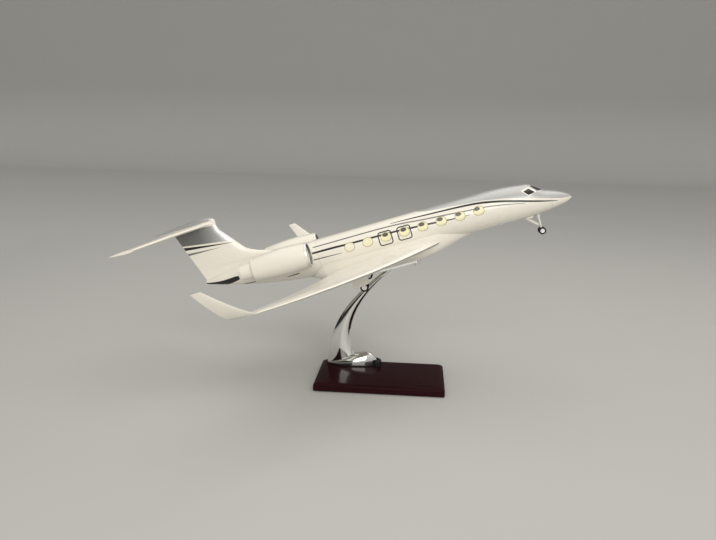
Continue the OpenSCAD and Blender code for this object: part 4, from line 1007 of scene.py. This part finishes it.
class SetStage(bpy.types.Operator):
    """Sets the floor, the backdrop, the lamps and the camera"""

    bl_idname = "model_jet.set_stage"
    bl_label = "Set the stage"

    def execute(self, context):
        look = context.scene.stage_look
        self.lay_floor(look)
        self.stand_flag()
        self.light_sky(look)
        self.hang_lamps(look)
        self.place_camera(context)
        context.scene.view_settings.view_transform = "Standard"
        return {"FINISHED"}

    def sheet(self, name, points, faces, finish):
        """A sheet of the stage, which is no part of the object."""
        mesh = bpy.data.meshes.new(name)
        mesh.from_pydata(points, [], faces)
        for face in mesh.polygons:
            face.use_smooth = True
        mesh.materials.append(finish.material)
        sheet = link(bpy.data.objects.new(name, mesh))
        return sheet

    def lay_floor(self, look):
        """One sheet that runs along the floor and curves up behind."""
        reach, bend = look.reach, SWEEP_BEND
        profile = [(-reach, 0.0)]
        for i in range(SWEEP_STEPS + 1):
            a = math.pi / 2 * i / SWEEP_STEPS
            profile.append((reach - bend + bend * math.sin(a), bend - bend * math.cos(a)))
        profile.append((reach, reach))
        points = [(s * 2 * reach, y, z) for y, z in profile for s in (-1, 1)]
        faces = [(2 * i, 2 * i + 1, 2 * i + 3, 2 * i + 2) for i in range(len(profile) - 1)]
        paper = Finish("floor_paper", roughness=0.6)
        paper.mottle(paper.noise(120.0), look.floor, 1.0, 0.97)
        self.sheet("floor_sheet", points, faces, paper)

    def stand_flag(self):
        """A black card beside the stage, which shows only as the dark band in glossy parts."""
        (near, far), (low, high) = FLAG_Y, FLAG_Z
        points = [(FLAG_X, y, z) for y, z in ((near, low), (far, low), (far, high), (near, high))]
        card = Finish("black_card", roughness=0.9)
        black, worn = (0.010, 0.010, 0.009), (0.014, 0.014, 0.013)
        card.feed("Base Color", card.mix(card.noise(40.0), black, worn))
        flag = self.sheet("black_flag", points, [(0, 1, 2, 3)], card)
        for rays in ("camera", "diffuse", "shadow", "transmission", "volume_scatter"):
            setattr(flag, "visible_" + rays, False)

    def light_sky(self, look):
        """Light from all round: brighter from above, and less from below the horizon."""
        world = bpy.data.worlds.new("studio")
        world.use_nodes = True
        sky = Wiring(world.node_tree, "Generated")
        up = sky.dot(sky.place, (0, 0, 1))
        level = sky.node("ShaderNodeMapRange", {"interpolation_type": "SMOOTHSTEP"}, {
            "Value": up, "From Min": SKY_FROM, "From Max": SKY_FULL,
            "To Min": look.room, "To Max": look.sky})
        level = level * (up.above(HORIZON, 0.1) * (1 - GROUND_SHARE) + GROUND_SHARE)
        light = sky.node("ShaderNodeBackground", {}, {"Color": SKY_COLOUR, "Strength": level})
        sky.node("ShaderNodeOutputWorld", {}, {"Surface": light}, None)
        bpy.context.scene.world = world

    def hang_lamps(self, look):
        """Soft square lamps that point at the jet."""
        middle = Vector(((WHOLE[0][0] + WHOLE[1][0]) / 2, 0, LAMP_AIM))
        for name, place, size, share in LAMPS:
            lamp = bpy.data.lights.new(name, "AREA")
            lamp.energy = look.lamp * share
            lamp.color = LAMP_COLOUR
            lamp.size = size
            holder = link(bpy.data.objects.new(name, lamp))
            holder.location = place
            holder.rotation_mode = "QUATERNION"
            holder.rotation_quaternion = (middle - Vector(place)).to_track_quat("-Z", "Y")

    def place_camera(self, context):
        """A camera that stands where the photograph's stood."""
        yaw, dip, roll = (math.radians(a) for a in (CAMERA_YAW, CAMERA_DIP, CAMERA_ROLL))
        ahead = Vector((math.sin(yaw) * math.cos(dip), math.cos(yaw) * math.cos(dip),
                        -math.sin(dip)))
        level = Vector((math.cos(yaw), -math.sin(yaw), 0))
        up = level.cross(ahead)
        right = math.cos(roll) * level + math.sin(roll) * up
        over = math.cos(roll) * up - math.sin(roll) * level
        lens = bpy.data.cameras.new("photograph")
        lens.sensor_width = SENSOR
        lens.lens = SENSOR * FOCAL_PIXELS / FRAME_PIXELS
        camera = link(bpy.data.objects.new("photograph", lens))
        turn = Matrix((right, over, -ahead)).transposed().to_4x4()
        camera.matrix_world = Matrix.Translation(CAMERA_PLACE) @ turn
        context.scene.camera = camera


STEPS = (RoundSkins, PaintAirframe, PaintTail, PaintWhites, GlazeWindows, FinishEngines,
         FinishGear, FinishStand, FinishFittings, SetStage)
SETTINGS = (("jet_livery", JetLivery), ("stand_look", StandLook), ("stage_look", StageLook))


class ModelJetPanel(bpy.types.Panel):
    """Lists the steps and the settings of the model jet"""

    bl_idname = "VIEW3D_PT_model_jet"
    bl_label = "Model jet"
    bl_space_type = "VIEW_3D"
    bl_region_type = "UI"
    bl_category = "Model jet"

    def draw(self, context):
        for group, kind in SETTINGS:
            box = self.layout.box()
            for key in kind.__annotations__:
                box.prop(getattr(context.scene, group), key)
        for step in STEPS:
            self.layout.operator(step.bl_idname)


def register():
    for name, kind in SETTINGS:
        bpy.utils.register_class(kind)
        setattr(bpy.types.Scene, name, bpy.props.PointerProperty(type=kind))
    for kind in (*STEPS, ModelJetPanel):
        bpy.utils.register_class(kind)


def unregister():
    for kind in (ModelJetPanel, *STEPS[::-1]):
        bpy.utils.unregister_class(kind)
    for name, kind in SETTINGS[::-1]:
        delattr(bpy.types.Scene, name)
        bpy.utils.unregister_class(kind)


def main():
    register()
    for step in STEPS:
        group, name = step.bl_idname.split(".")
        getattr(getattr(bpy.ops, group), name)()


if __name__ == "__main__":
    main()
